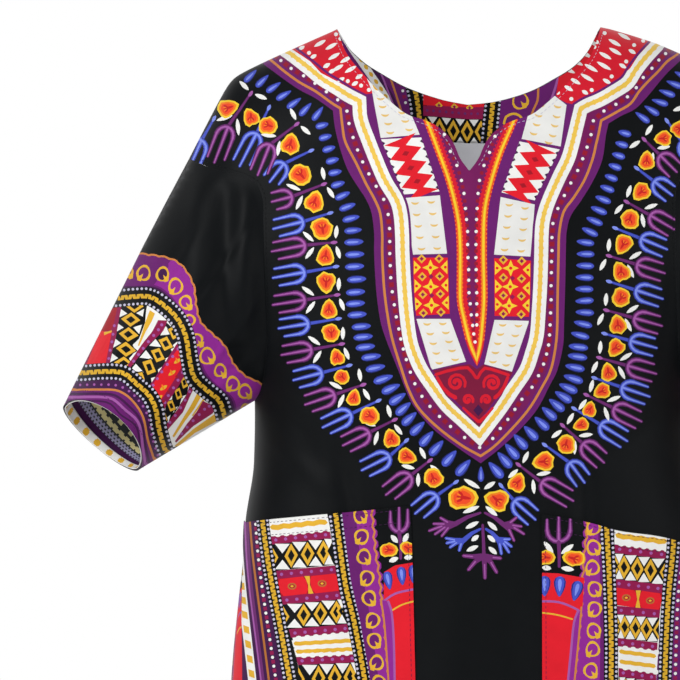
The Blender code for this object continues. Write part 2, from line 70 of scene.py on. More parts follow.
# Half the gap at a side seam (rad), and the step by which the cloth's direction is found
SEAM_TURN = 0.0012
NUDGE = 0.004

HEM_Z = -703.0 * MM
HEM_PIECES = 160
UNDERARM_Z = -286.0 * MM

# Body sections, mm: height, half width, front depth, back depth, squareness, side seam swing (rad)
SECTION_TABLE = (
    (60.0, 262.0, 74.0, 84.0, 0.08, 0.0),
    (0.0, 264.0, 76.0, 86.0, 0.08, 0.0),
    (-72.0, 263.0, 84.0, 92.0, 0.08, 0.0),
    (-109.0, 254.0, 92.0, 94.0, 0.08, 0.0),
    (-170.0, 230.0, 108.0, 94.0, 0.08, 0.0),
    (-232.0, 206.0, 112.0, 90.0, 0.10, 0.0),
    (-286.0, 193.6, 108.0, 86.0, 0.14, 0.0),
    (-340.0, 195.5, 100.0, 84.0, 0.18, 0.0),
    (-392.0, 204.0, 98.0, 88.0, 0.22, 0.0),
    (-426.0, 206.5, 101.0, 93.0, 0.24, 0.15),
    (-461.0, 210.5, 104.0, 98.0, 0.25, 0.27),
    (-531.0, 217.0, 109.0, 105.0, 0.25, 0.42),
    (-703.0, 224.0, 114.0, 110.0, 0.25, 0.50),
)

# Necklines, mm, half of each, from the neck point to the centre
FRONT_NECK_TABLE = (
    (116.3, 42.2),
    (109.0, 22.0),
    (92.0, 0.0),
    (71.0, -21.5),
    (52.0, -35.5),
    (41.5, -38.5),
)
NOTCH_TABLE = ((41.5, -38.5), (32.0, -42.5), (21.0, -50.5), (14.0, -59.5), (8.0, -73.0), (0.5, -83.5))
BACK_NECK_TABLE = (
    (116.3, 42.2),
    (104.0, 21.0),
    (93.0, 10.0),
    (76.0, -0.5),
    (57.0, -10.5),
    (38.0, -17.0),
    (20.0, -21.0),
    (0.0, -23.0),
)

# Armholes, mm: front x and z, back x and z, from the ridge of the cap round to the underarm
ARMHOLE_TABLE = (
    (246.8, -72.2, 246.8, -72.2),
    (222.2, -82.5, 228.0, -80.0),
    (200.2, -88.0, 212.0, -88.5),
    (185.5, -97.0, 201.5, -101.0),
    (180.8, -113.0, 198.0, -122.0),
    (180.8, -170.0, 194.0, -172.0),
    (180.8, -232.0, 190.5, -228.0),
    (184.0, -260.0, 189.8, -262.0),
    (189.5, -280.0, 191.4, -279.0),
    (193.6, -286.0, 193.6, -286.0),
)
ARMHOLE_STEPS = 136

# Cuff ring: the two ends of its width and how far it stands out each way
CUFF_TOP = (362.1 * MM, -22.0 * MM, -290.4 * MM)
CUFF_LOW = (297.0 * MM, -22.0 * MM, -346.7 * MM)
CUFF_FRONT_DEPTH = 76.0 * MM
CUFF_FRONT_LIFT = 25.0 * MM
CUFF_BACK_DEPTH = 60.0 * MM
CUFF_BACK_DROP = 10.5 * MM

# Waist darts, mm: x top, z top, x low, z low
DART_TABLE = ((-123.6, -312.0, -112.0, -386.0), (93.7, -310.0, 93.7, -393.0))
DART_PINCH = 3.2 * MM
DART_SPREAD = 7.0 * MM

# Flutes that open towards the hem, mm: x, slant, spread, height front, height back
FLUTE_TABLE = (
    (-178.0, -0.08, 24.0, 5.0, 4.0),
    (-104.0, -0.05, 27.0, -4.5, 5.0),
    (-30.0, -0.02, 26.0, 4.0, -5.0),
    (38.0, 0.03, 25.0, -3.5, 4.5),
    (108.0, 0.06, 28.0, 4.5, -4.0),
    (176.0, 0.08, 23.0, -4.0, 5.0),
)
FLUTE_START_Z = -330.0 * MM

# Sleeve folds, mm: x top, z top, x low, z low, spread, height
SLEEVE_FOLD_TABLE = (
    (196.0, -92.0, 199.0, -228.0, 9.0, 3.0),
    (213.0, -86.0, 217.0, -215.0, 9.0, -3.6),
    (232.0, -82.0, 252.0, -240.0, 11.0, 2.8),
    (206.0, -236.0, 192.0, -262.0, 9.0, -3.4),
    (262.0, -205.0, 300.0, -300.0, 13.0, -3.0),
)

# Patch pockets, mm: top edge from the centre outwards
RIGHT_POCKET_TOP = ((-58.5, -377.5), (-91.0, -381.0), (-150.0, -387.0), (-198.0, -392.0))
LEFT_POCKET_TOP = ((55.9, -384.6), (94.6, -391.6), (125.4, -400.4), (155.3, -404.5), (199.0, -416.0))
RIGHT_POCKET_INNER_LOW_X = -54.0 * MM
LEFT_POCKET_INNER_LOW_X = 56.0 * MM
POCKET_LOW_Z = -572.0 * MM
POCKET_SEAM_MARGIN = 0.012
POCKET_GAPE = 2.6 * MM
POCKET_GAPE_LENGTH = 60.0 * MM

# Facing and label
FACING_DEPTH = 72.0 * MM
LABEL_HALF_WIDTH = 15.0 * MM
LABEL_CENTRE_X = 0.6 * MM
LABEL_TOP_Z = -57.0 * MM
LABEL_LOW_Z = -86.0 * MM


def monotone(table, column, at):
    """Smooth value of a table column, with no overshoot between its rows."""
    order = np.argsort([row[0] for row in table])
    knots = np.array([table[i][0] for i in order]) * MM
    values = np.array([table[i][column] for i in order])
    step = np.diff(knots)
    slope = np.diff(values) / step
    tangent = np.zeros(len(knots))
    tangent[0] = slope[0]
    tangent[-1] = slope[-1]
    for i in range(1, len(knots) - 1):
        if slope[i - 1] * slope[i] > 0:
            first = 2 * step[i] + step[i - 1]
            second = step[i] + 2 * step[i - 1]
            tangent[i] = (first + second) / (first / slope[i - 1] + second / slope[i])
    at = np.clip(at, knots[0], knots[-1])
    i = np.clip(np.searchsorted(knots, at, side="right") - 1, 0, len(step) - 1)
    t = (at - knots[i]) / step[i]
    value = (1 + 2 * t) * (1 - t) ** 2 * values[i] + t ** 2 * (3 - 2 * t) * values[i + 1]
    value += t * (1 - t) ** 2 * step[i] * tangent[i]
    value += t ** 2 * (t - 1) * step[i] * tangent[i + 1]
    return value


def tabled(column, scale):
    heights = np.linspace(SECTION_TABLE[-1][0] * MM, SECTION_TABLE[0][0] * MM, 3000)
    values = monotone(SECTION_TABLE, column, heights) * scale
    return lambda z: np.interp(z, heights, values)


half_width = tabled(1, MM)
front_depth = tabled(2, MM)
back_depth = tabled(3, MM)
squareness = tabled(4, 1.0)
seam_swing = tabled(5, 1.0)


def seam_angle(z):
    """Angle of the side seam at a height."""
    return QUARTER - seam_swing(z)


def listed(table, at):
    """Value of a table of pairs in mm, straight between its rows."""
    return np.interp(at / MM, [row[0] for row in table], [row[1] for row in table]) * MM


# The photographed shirt hangs a little to the viewer's left: height and shift, mm
LEAN_TABLE = ((-430.0, 0.0), (-380.0, -0.6), (-338.0, -1.6), (-285.0, -2.8), (-240.0, -4.4), (-197.0, -5.6),
              (-150.0, -7.2), (-110.0, -7.6), (60.0, -7.2))


def lean(z):
    return listed(LEAN_TABLE, z)


# The shoulder at the viewer's right stands a little higher: place across and rise, mm
RISE_TABLE = ((108.0, 0.0), (125.0, 4.0), (145.0, 7.0), (165.0, 9.5), (190.0, 10.5), (260.0, 10.5))


def rise(x, z):
    """How far the cloth of the viewer's right shoulder stands above its mirror image."""
    return listed(RISE_TABLE, x) * np.interp(z / MM, (-170.0, -50.0), (0.0, 1.0))


# The back neckline stands a little higher on the wearer's right: place across and rise, mm
NAPE_TABLE = ((-117.0, 0.0), (-109.0, 2.6), (-98.0, 4.8), (-82.0, 4.6), (-64.0, 4.3), (-44.0, 3.5), (-28.0, 2.5),
              (-10.0, 0.8), (0.0, 0.0))


def nape_rise(x, z):
    """How far the back of the neck stands above its mirror image."""
    return listed(NAPE_TABLE, x) * np.interp(z / MM, (-130.0, -30.0), (0.0, 1.0))


def ridge_height(x):
    """Height of the shoulder line, with its fall over the cap of the arm."""
    run = np.sqrt(x ** 2 + CENTRE_ROUND ** 2) - math.hypot(NECK_POINT_X, CENTRE_ROUND)
    past = np.abs(x) - SHOULDER_X
    over = 0.5 * (past + np.sqrt(past ** 2 + SHOULDER_ROUND ** 2))
    return NECK_POINT_Z - SHOULDER_FALL * run - CAP_FALL * over


def width_at(angle, z):
    """Sideways place of the hanging cloth."""
    return half_width(z) * np.sin(angle) * (1 + squareness(z) * np.cos(angle) ** 2)


def depth_at(angle, z):
    """Front to back place of the hanging cloth."""
    cosine = np.cos(angle)
    depth = np.where(cosine > 0, front_depth(z), back_depth(z))
    return -depth * cosine * (1 + squareness(z) * np.sin(angle) ** 2)


def hanging_fall(x, z):
    """Fall of the cloth below the roll of the shoulder."""
    return ROLL_ARC * QUARTER + ridge_height(x) - z - SHOULDER_ROLL


def body_point(angle, fall):
    """Point on the body; angle 0 is centre front, fall is the cloth's way down from the ridge."""
    roll = np.clip(fall / ROLL_ARC, 0.0, QUARTER)
    drop = SHOULDER_ROLL * (1 - np.cos(roll)) + np.maximum(fall - ROLL_ARC * QUARTER, 0.0)
    sine = np.sin(angle)
    cosine = np.cos(angle)
    x = sine * SHOULDER_X
    for _ in range(40):
        z = ridge_height(x) - drop
        x = half_width(z) * sine * (1 + squareness(z) * cosine ** 2)
    z = ridge_height(x) - drop
    return np.stack([x, depth_at(angle, z) * np.sin(roll), z], axis=-1)


def body_normal(angle, fall):
    """Way out of the smooth body."""
    low = np.maximum(fall - 0.8 * MM, 0.0)
    across = body_point(angle + NUDGE, fall) - body_point(angle - NUDGE, fall)
    down = body_point(angle, low + 1.6 * MM) - body_point(angle, low)
    return -unit(np.cross(across, down))


def body_place(x, z, back=False):
    """Angle and fall of the cloth point whose front view place is x, z."""
    x = np.asarray(x, dtype=float)
    z = np.asarray(z, dtype=float)
    drop = np.maximum(ridge_height(x) - z, 0.0)
    roll = np.arccos(np.clip(1 - drop / SHOULDER_ROLL, 0.0, 1.0))
    fall = ROLL_ARC * roll + np.maximum(drop - SHOULDER_ROLL, 0.0)
    ratio = np.clip(np.abs(x) / half_width(z), 0.0, 1.0)
    low = np.zeros_like(ratio)
    high = np.ones_like(ratio)
    for _ in range(45):
        middle = (low + high) / 2
        short = middle * (1 + squareness(z) * (1 - middle ** 2)) < ratio
        low = np.where(short, middle, low)
        high = np.where(short, high, middle)
    angle = np.arcsin((low + high) / 2)
    if back:
        angle = math.pi - angle
    return np.sign(x) * angle + (x == 0) * (math.pi if back else 0.0), fall


def bump(distance, spread):
    """Round fold of height 1."""
    return np.exp(-(distance / spread) ** 2)


def ease(value):
    """Smooth step from 0 to 1."""
    value = np.clip(value, 0.0, 1.0)
    return value * value * (3 - 2 * value)


def unit(vectors):
    return vectors / np.maximum(np.linalg.norm(vectors, axis=-1, keepdims=True), 1e-12)


def lengths(line):
    """Length of a line up to each of its points."""
    return np.concatenate([[0.0], np.cumsum(np.linalg.norm(np.diff(line, axis=0), axis=1))])


def body_folds(point):
    """Height of the folds over the smooth body: darts in front, flutes towards the hem."""
    x = point[..., 0]
    z = point[..., 2]
    front = point[..., 1] < 0
    height = np.zeros_like(x)
    opening = ease((FLUTE_START_Z - z) / (FLUTE_START_Z - HEM_Z))
    for line, slant, spread, high_front, high_back in FLUTE_TABLE:
        centre = line * MM + slant * (HEM_Z - z)
        high = np.where(front, high_front, high_back) * MM
        height = height + high * opening * bump(x - centre, spread * MM)
    for top_x, top_z, low_x, low_z in DART_TABLE:
        along = (top_z * MM - z) / ((top_z - low_z) * MM)
        centre = (top_x + (low_x - top_x) * np.clip(along, 0, 1)) * MM
        pinch = ease(along / 0.6) * ease((1.25 - along) / 0.25)
        height = height - np.where(front, 1.0, 0.0) * DART_PINCH * pinch * bump(x - centre, DART_SPREAD)
    sides = ease((half_width(z) - np.abs(x)) / (18 * MM))
    return height * sides


# Soft pulls over the chest, waist and back, mm: x top, z top, x low, z low, spread, height, back
PULL_TABLE = (
    (-176.0, -120.0, -168.0, -262.0, 7.0, -1.0, 0),
    (-160.0, -150.0, -148.0, -300.0, 9.0, 0.8, 0),
    (-176.0, -285.0, -128.0, -352.0, 8.0, -1.1, 0),
    (-186.0, -318.0, -120.0, -372.0, 9.0, 0.9, 0),
    (172.0, -285.0, 112.0, -345.0, 9.0, -1.1, 0),
    (176.0, -130.0, 166.0, -270.0, 8.0, -1.0, 0),
    (-20.0, -400.0, -26.0, -640.0, 13.0, 0.9, 0),
    (20.0, -420.0, 24.0, -660.0, 12.0, -0.9, 0),
    (-150.0, -110.0, -176.0, -250.0, 11.0, -1.4, 1),
    (150.0, -110.0, 176.0, -250.0, 11.0, -1.4, 1),
    (-60.0, -290.0, -84.0, -520.0, 12.0, -1.3, 1),
    (64.0, -300.0, 88.0, -540.0, 12.0, 1.2, 1),
    (-6.0, -60.0, -4.0, -380.0, 15.0, -1.0, 1),
)


def pulls(point):
    """Small slack folds over the darts and flutes."""
    x = point[..., 0]
    z = point[..., 2]
    behind = point[..., 1] > 0
    height = np.zeros_like(x)
    for top_x, top_z, low_x, low_z, spread, high, back in PULL_TABLE:
        along = (top_z * MM - z) / ((top_z - low_z) * MM)
        centre = (top_x + (low_x - top_x) * along + 4.0 * np.sin(4.2 * along)) * MM
        shape = ease((along + 0.15) / 0.45) * ease((1.15 - along) / 0.45)
        height = height + high * MM * shape * bump(x - centre, spread * MM) * (behind == bool(back))
    sides = ease((half_width(z) - np.abs(x)) / (25 * MM))
    return height * sides


def smooth_run(points, pieces):
    """Points evenly spaced along a smooth line through a table of places (mm)."""
    line = np.array(points) * MM
    chord = lengths(line)
    fine = np.linspace(0, chord[-1], 400)
    rows = [[1000 * c] + list(p / MM) for c, p in zip(chord, line)]
    curve_points = np.stack([monotone(rows, i + 1, fine) * MM for i in range(line.shape[1])], axis=-1)
    length = lengths(curve_points)
    even = np.linspace(0, length[-1], pieces + 1)
    return np.stack([np.interp(even, length, curve_points[:, i]) for i in range(line.shape[1])], axis=-1)


def to_flat(angle, fall, back):
    """Place on a panel laid flat."""
    centre = math.pi if back else 0.0
    turn = np.where(angle < 0, angle + centre, angle - centre) if back else angle
    return np.stack([turn * GIRTH_RADIUS, -fall], axis=-1)


def from_flat(flat, back):
    angle = flat[:, 0] / GIRTH_RADIUS
    if back:
        angle = angle + math.pi
    return angle, -flat[:, 1]


def armhole_run(back):
    columns = (2, 3) if back else (0, 1)
    return smooth_run([[row[columns[0]], row[columns[1]]] for row in ARMHOLE_TABLE], ARMHOLE_STEPS)


def side_line(side, back, heights):
    """Flat places down one side seam, half a seam gap back from it."""
    angle = seam_angle(heights) + (SEAM_TURN if back else -SEAM_TURN)
    return to_flat(side * angle, hanging_fall(width_at(angle, heights), heights), back)


def hem_line(back):
    """Flat places along the hem of a panel."""
    limit = float(seam_angle(np.array(HEM_Z)))
    turn = (math.pi - limit if back else limit) - SEAM_TURN
    turns = np.linspace(-turn, turn, HEM_PIECES + 1)
    angle = turns + (math.pi if back else 0.0)
    return np.stack([turns * GIRTH_RADIUS, -hanging_fall(width_at(angle, HEM_Z), HEM_Z)], axis=-1)


def place_run(run, back):
    """Flat places of a run on the right half of a panel."""
    angle, fall = body_place(run[:, 0], run[:, 1], back)
    flat = to_flat(angle, fall, back)
    if back:
        flat[:, 0] *= -1.0
    return flat


def half_outline(back):
    """Outline of the right half of a panel, flat, from the neck centre round to the hem."""
    if back:
        neck = smooth_run(BACK_NECK_TABLE, 44)[::-1]
    else:
        neck = np.concatenate([smooth_run(FRONT_NECK_TABLE, 32), smooth_run(NOTCH_TABLE, 20)[1:]])[::-1]
    ridge_x = np.linspace(NECK_POINT_X, ARMHOLE_TABLE[0][0] * MM, 34)
    ridge = np.stack([ridge_x, ridge_height(ridge_x)], axis=-1)
    neck_flat = place_run(neck, back)
    ridge_flat = place_run(ridge, back)
    ridge_flat[:, 1] = 0.0
    hole_flat = place_run(armhole_run(back), back)
    hole_flat[0, 1] = 0.0
    side_flat = side_line(1, back, np.linspace(UNDERARM_Z, HEM_Z, 90))
    if back:
        side_flat[:, 0] *= -1.0
    return neck_flat, ridge_flat[1:], hole_flat[1:-1], side_flat


def panel_outline(back):
    """Whole outline from its right half and the hem."""
    right = np.concatenate(half_outline(back))
    left = right[::-1] * np.array([-1.0, 1.0])
    if abs(right[0, 0]) < 1e-9:
        left = left[:-1]
    hem = hem_line(back)[1:-1]
    if hem[0, 0] < 0:
        hem = hem[::-1]
    return np.concatenate([right, hem, left])


def pocket_outline(top_table, inner_low_x):
    """Patch pocket caught in the side seam: mouth, seam side, bottom and inner edge."""
    side = 1.0 if inner_low_x > 0 else -1.0
    top = smooth_run(top_table, 48)
    heights = np.linspace(top[-1, 1], POCKET_LOW_Z, 44)
    margin = seam_angle(heights) - POCKET_SEAM_MARGIN
    outer_run = np.stack([side * width_at(margin, heights), heights], axis=-1)
    low_x = np.linspace(outer_run[-1, 0], inner_low_x, 33)
    low_run = np.stack([low_x, np.full(33, POCKET_LOW_Z)], axis=-1)
    inner_z = np.linspace(POCKET_LOW_Z, top[0, 1], 45)
    inner_run = np.stack([np.linspace(inner_low_x, top[0, 0], 45), inner_z], axis=-1)
    whole = np.concatenate([top[:-1], outer_run, low_run[1:], inner_run[1:-1]])
    angle, fall = body_place(whole[:, 0], whole[:, 1])
    return to_flat(angle, fall, False)


def pocket_gape(base, top_table):
    """How far a pocket's mouth stands off the panel."""
    top = smooth_run(top_table, 8)
    x = np.abs(base[:, 0])
    mouth = np.interp(x, np.abs(top[:, 0]), top[:, 1])
    down = np.clip((mouth - base[:, 2]) / POCKET_GAPE_LENGTH, 0.0, 1.0)
    span = (x - abs(top[0, 0])) / (abs(top[-1, 0]) - abs(top[0, 0]))
    across = np.sin(math.pi * np.clip(span, 0.0, 1.0))
    return POCKET_GAPE * across * (1 - ease(down))


def facing_outline():
    """Band inside the back neck: the neckline, the shoulder seam and a curve below."""
    neck, ridge, _, _ = half_outline(True)
    seam = ridge[:13]
    lowest = neck[0] + np.array([0.0, -FACING_DEPTH])
    turn = np.linspace(0.0, QUARTER, 40)
    curve_points = np.stack([seam[-1, 0] * np.cos(turn), lowest[1] * np.sin(turn) ** 0.8], axis=-1)
    right = np.concatenate([neck, seam, curve_points[1:]])
    left = right[1:-1][::-1] * np.array([-1.0, 1.0])
    return np.concatenate([right, left])


def label_outline():
    pieces = 8
    xs = np.linspace(LABEL_CENTRE_X - LABEL_HALF_WIDTH, LABEL_CENTRE_X + LABEL_HALF_WIDTH, pieces + 1)
    zs = np.linspace(LABEL_LOW_Z, LABEL_TOP_Z, pieces + 1)
    x = np.concatenate([xs[:-1], np.full(pieces, xs[-1]), xs[::-1][:-1], np.full(pieces, xs[0])])
    z = np.concatenate([np.full(pieces, zs[0]), zs[:-1], np.full(pieces, zs[-1]), zs[::-1][:-1]])
    angle, fall = body_place(x, z, True)
    return to_flat(angle, fall, True)


def body_skin(flat, back, lift, mouth=None):
    """Cloth points at a height over the folded body, from flat places."""
    angle, fall = from_flat(flat, back)
    base = body_point(angle, fall)
    normal = body_normal(angle, fall)
    ridge = fall < 0.02 * MM
    normal[ridge, 1] = 0.0
    normal = unit(normal)
    height = body_folds(base) + pulls(base) + lift
    if mouth is not None:
        height = height + pocket_gape(base, mouth)
    point = base + normal * height[:, None]
    point[ridge, 1] = (0.5 if back else -0.5) * 0.1 * MM
    high = nape_rise(point[:, 0], point[:, 2]) if back else 0.0
    point[:, 2] += rise(point[:, 0], point[:, 2]) + high
    point[:, 0] += lean(point[:, 2])
    return point


# ---------------------------------------------------------------- sleeve

def sleeve_folds(point):
    """Folds hanging on the front of the sleeve."""
    x = np.abs(point[..., 0])
    z = point[..., 2]
    height = np.zeros_like(x)
    for top_x, top_z, low_x, low_z, spread, high in SLEEVE_FOLD_TABLE:
        along = (top_z * MM - z) / ((top_z - low_z) * MM)
        centre = (top_x + (low_x - top_x) * along) * MM
        shape = ease((along + 0.10) / 0.3) * ease((1.15 - along) / 0.35)
        height = height + high * MM * shape * bump(x - centre, spread * MM)
    front = ease((-12 * MM - point[..., 1]) / (22 * MM))
    return height * front


def armhole_ring():
    """Seam ring of the wearer's left sleeve, pulled a little off the body."""
    rings = []
    for back in (False, True):
        run = armhole_run(back)
        angle, fall = body_place(run[:, 0], run[:, 1], back)
        fall[0] = 0.0
        point = body_point(angle, fall)
        point[-1, 1] = 0.0
        normal = body_normal(angle, fall)
        normal[0, 1] = 0.0
        normal[-1] = (1.0, 0.0, 0.0)
        rings.append((point + normal * (body_folds(point) + pulls(point))[:, None], unit(normal)))
    front, back = rings
    point = np.concatenate([front[0], back[0][1:-1][::-1]])
    normal = np.concatenate([front[1], back[1][1:-1][::-1]])
    along = np.roll(point, -1, axis=0) - np.roll(point, 1, axis=0)
    away = unit(np.cross(along, normal))
    if np.sum(away * (point - point.mean(axis=0))) > 0:
        away = -away
    return point + away * 0.1 * MM


def cuff_ring():
    """Edge ring of the wearer's left cuff."""
    top = np.array(CUFF_TOP)
    low = np.array(CUFF_LOW)
    middle = (top + low) / 2
    half = (low - top) / 2
    lift = unit(np.array([half[2], 0.0, -half[0]]))
    turns = np.pi * np.arange(2 * ARMHOLE_STEPS) / ARMHOLE_STEPS
    reach = np.sin(turns)
    point = middle - half * np.cos(turns)[:, None]
    shift = np.where(reach >= 0, CUFF_FRONT_LIFT, CUFF_BACK_DROP)
    point = point + lift * (shift * reach)[:, None]
    point[:, 1] -= np.where(reach >= 0, CUFF_FRONT_DEPTH, CUFF_BACK_DEPTH) * reach
    return point


SEAM_RING = armhole_ring()
CUFF_RING = cuff_ring()
SLEEVE_MIDDLE = (SEAM_RING.mean(axis=0) + CUFF_RING.mean(axis=0)) / 2
SLEEVE_TURN = 0.260
SLEEVE_RUN = 0.240


def ring_at(ring, turn):
    """Place on a ring; turn 0 is the ridge, 1 the underarm, 1 to 2 the way back behind."""
    at = np.mod(turn, 2.0) * ARMHOLE_STEPS
    low = np.floor(at).astype(int) % len(ring)
    share = (at - np.floor(at))[:, None]
    return ring[low] * (1 - share) + ring[(low + 1) % len(ring)] * share


def sleeve_base(turn, run):
    """Smooth sleeve: turn goes round it, run goes from 0 at its seam to 1 at its edge."""
    seam = ring_at(SEAM_RING, turn)
    return seam + (ring_at(CUFF_RING, turn) - seam) * run[:, None]


# Sleeve creases: turn top, run top, turn low, run low, spread (shares) and height, mm
SLEEVE_CREASE_TABLE = (
    (0.20, 0.10, 0.22, 0.86, 0.030, 1.2),
    (0.34, 0.04, 0.40, 0.55, 0.022, -1.2),
    (0.62, 0.06, 0.70, 0.50, 0.026, 1.0),
    (0.80, 0.10, 0.74, 0.62, 0.022, -1.0),
    (0.52, 0.55, 0.46, 1.00, 0.030, 1.2),
    (1.20, 0.10, 1.26, 0.90, 0.040, -2.2),
    (1.45, 0.05, 1.40, 0.95, 0.045, 2.4),
    (1.68, 0.10, 1.66, 0.90, 0.035, -2.0),
)


def sleeve_skin(turn, run, lift):
    """Cloth points at a height over the folded sleeve."""
    base = sleeve_base(turn, run)
    around = sleeve_base(turn + NUDGE, run) - sleeve_base(turn - NUDGE, run)
    along = sleeve_base(turn, run + NUDGE) - sleeve_base(turn, run - NUDGE)
    normal = unit(np.cross(around, along))
    if np.sum(normal * (base - SLEEVE_MIDDLE)) < 0:
        normal = -normal
    height = sleeve_folds(base)
    for top_turn, top_run, low_turn, low_run, spread, high in SLEEVE_CREASE_TABLE:
        share = (run - top_run) / (low_run - top_run)
        middle = top_turn + (low_turn - top_turn) * share
        apart = np.abs(np.mod(turn - middle + 1.0, 2.0) - 1.0)
        ends = ease((share + 0.1) / 0.4) * ease((1.1 - share) / 0.4)
        height = height + high * MM * bump(apart, spread) * ends
    height = height * ease(run / 0.06) + lift
    return base + normal * height[:, None]


def sleeve_place(x, z):
    """Turn and run of the sleeve front's cloth at a front view place; beyond its edge, the edge."""
    turns, runs = np.meshgrid(np.linspace(0, 1, 121), np.linspace(0, 1, 81), indexing="ij")
    turns = turns.ravel()
    runs = runs.ravel()

    def seen(turn, run):
        return sleeve_base(turn, run)[:, [0, 2]]

    table = seen(turns, runs)
    want = np.stack([x, z], axis=-1)
    nearest = np.array([np.argmin(((table - w) ** 2).sum(axis=1)) for w in want])
    turn = turns[nearest]
    run = runs[nearest]
    h = 1e-4
    for _ in range(8):
        here = seen(turn, run)
        du = (seen(np.clip(turn + h, 0, 1), run) - here) / h
        du = np.where(turn[:, None] + h > 1, (here - seen(turn - h, run)) / h, du)
        dv = (seen(turn, run + h) - here) / h
        miss = want - here
        det = du[:, 0] * dv[:, 1] - du[:, 1] * dv[:, 0]
        det = np.where(np.abs(det) < 1e-6, 1e-6, det)
        turn_step = np.clip((miss[:, 0] * dv[:, 1] - miss[:, 1] * dv[:, 0]) / det, -0.03, 0.03)
        run_step = np.clip((du[:, 0] * miss[:, 1] - du[:, 1] * miss[:, 0]) / det, -0.05, 0.05)
        turn = np.clip(turn + turn_step, 0.0, 1.0)
        run = run + run_step
    return turn, run


# ---------------------------------------------------------------- print: drawing kit

CHART = 0.88 * MM
CHART_CENTRE = 477.5
CHART_SHOULDER = 76.0

# Dye colours, as seen in plain light
DYES = {
    "black": (6, 9, 12),
    "white": (250, 250, 247),
    "pearl": (206, 203, 226),
    "purple": (108, 22, 112),
    "violet": (150, 36, 152),
    "berry": (120, 16, 92),
    "scarlet": (222, 18, 44),
    "wine": (154, 12, 46),
    "maroon": (128, 12, 58),
    "plum": (66, 10, 74),
    "crimson": (150, 12, 78),
    "red": (236, 20, 40),
    "darkred": (172, 10, 34),
    "gold": (238, 184, 50),
    "rope": (230, 180, 44),
    "yellow": (253, 214, 50),
    "orange": (255, 132, 26),
    "vermilion": (250, 78, 34),
    "brick": (206, 26, 26),
    "line": (214, 132, 66),
    "bronze": (186, 112, 52),
    "blue": (70, 86, 204),
    "lightblue": (132, 150, 246),
    "navy": (34, 44, 128),
    "lilac": (170, 92, 172),
    "mauve": (112, 38, 112),
    "cream": (240, 240, 237),
    "corn": (250, 206, 84),
    "pale": (240, 200, 112),
    "haze": (172, 168, 204),
    "straw": (246, 234, 170),
    "wrong": (60, 62, 66),
    "tape": (214, 214, 220),
}
DYE_NAMES = list(DYES)


def spline(points, step=5.0):
    """Smooth line through points."""
    p = np.array(points, dtype=float)
    if len(p) < 3:
        p = np.array([p[0], (p[0] + p[-1]) / 2, p[-1]])
    wide = np.vstack([2 * p[0] - p[1], p, 2 * p[-1] - p[-2]])
    parts = []
    for i in range(len(p) - 1):
        a, b, c, d = wide[i:i + 4]
        pieces = max(1, int(math.ceil(np.linalg.norm(c - b) / step)))
        t = np.linspace(0, 1, pieces, endpoint=False)[:, None]
        parts.append(0.5 * (2 * b + (c - a) * t + (2 * a - 5 * b + 4 * c - d) * t ** 2
                            + (3 * b - a - 3 * c + d) * t ** 3))
    parts.append(p[-1:])
    return np.concatenate(parts)


def sideways(axis):
    """Left-hand side of a direction as drawn (y down)."""
    return np.array([axis[1], -axis[0]])


def turned(points, x, y, angle):
    """Points turned about their origin and moved to x, y."""
    c, s = math.cos(angle), math.sin(angle)
    return np.stack([x + points[:, 0] * c - points[:, 1] * s, y + points[:, 0] * s + points[:, 1] * c], axis=-1)


def joined(*lines):
    """Several lines end to end, sharp where they meet."""
    whole = [lines[0]]
    for line in lines[1:]:
        whole.append(line[1:])
    return np.concatenate(whole)


def offset(line, distance):
    """Line moved sideways; a positive distance is to the left of its run as drawn (y down)."""
    step = np.diff(line, axis=0)
    step = step / np.maximum(np.linalg.norm(step, axis=1, keepdims=True), 1e-9)
    across = np.stack([step[:, 1], -step[:, 0]], axis=-1)
    before = np.vstack([across[:1], across])
    after = np.vstack([across, across[-1:]])
    mean = before + after
    mean = mean / np.maximum(np.linalg.norm(mean, axis=1, keepdims=True), 1e-9)
    mitre = 1.0 / np.maximum((mean * after).sum(axis=1), 0.6)
    return line + mean * (mitre * distance)[:, None]


def evenly(line, spacing, start=0.5):
    """Places and directions spaced evenly along a line."""
    length = lengths(line)
    count = max(1, int(round(length[-1] / spacing)))
    at = (np.arange(count) + start) * length[-1] / count
    places = np.stack([np.interp(at, length, line[:, i]) for i in (0, 1)], axis=-1)
    ahead = np.stack([np.interp(at + 1.0, length, line[:, i]) for i in (0, 1)], axis=-1)
    behind = np.stack([np.interp(at - 1.0, length, line[:, i]) for i in (0, 1)], axis=-1)
    return places, unit(ahead - behind)


def resample(line, count=60):
    """Line of so many points, evenly spaced."""
    length = lengths(line)
    at = np.linspace(0, length[-1], count)
    return np.stack([np.interp(at, length, line[:, i]) for i in (0, 1)], axis=-1)


def blend(first, second, share):
    """Line between two others; the share is the second one's."""
    return resample(first) * (1 - share) + resample(second) * share


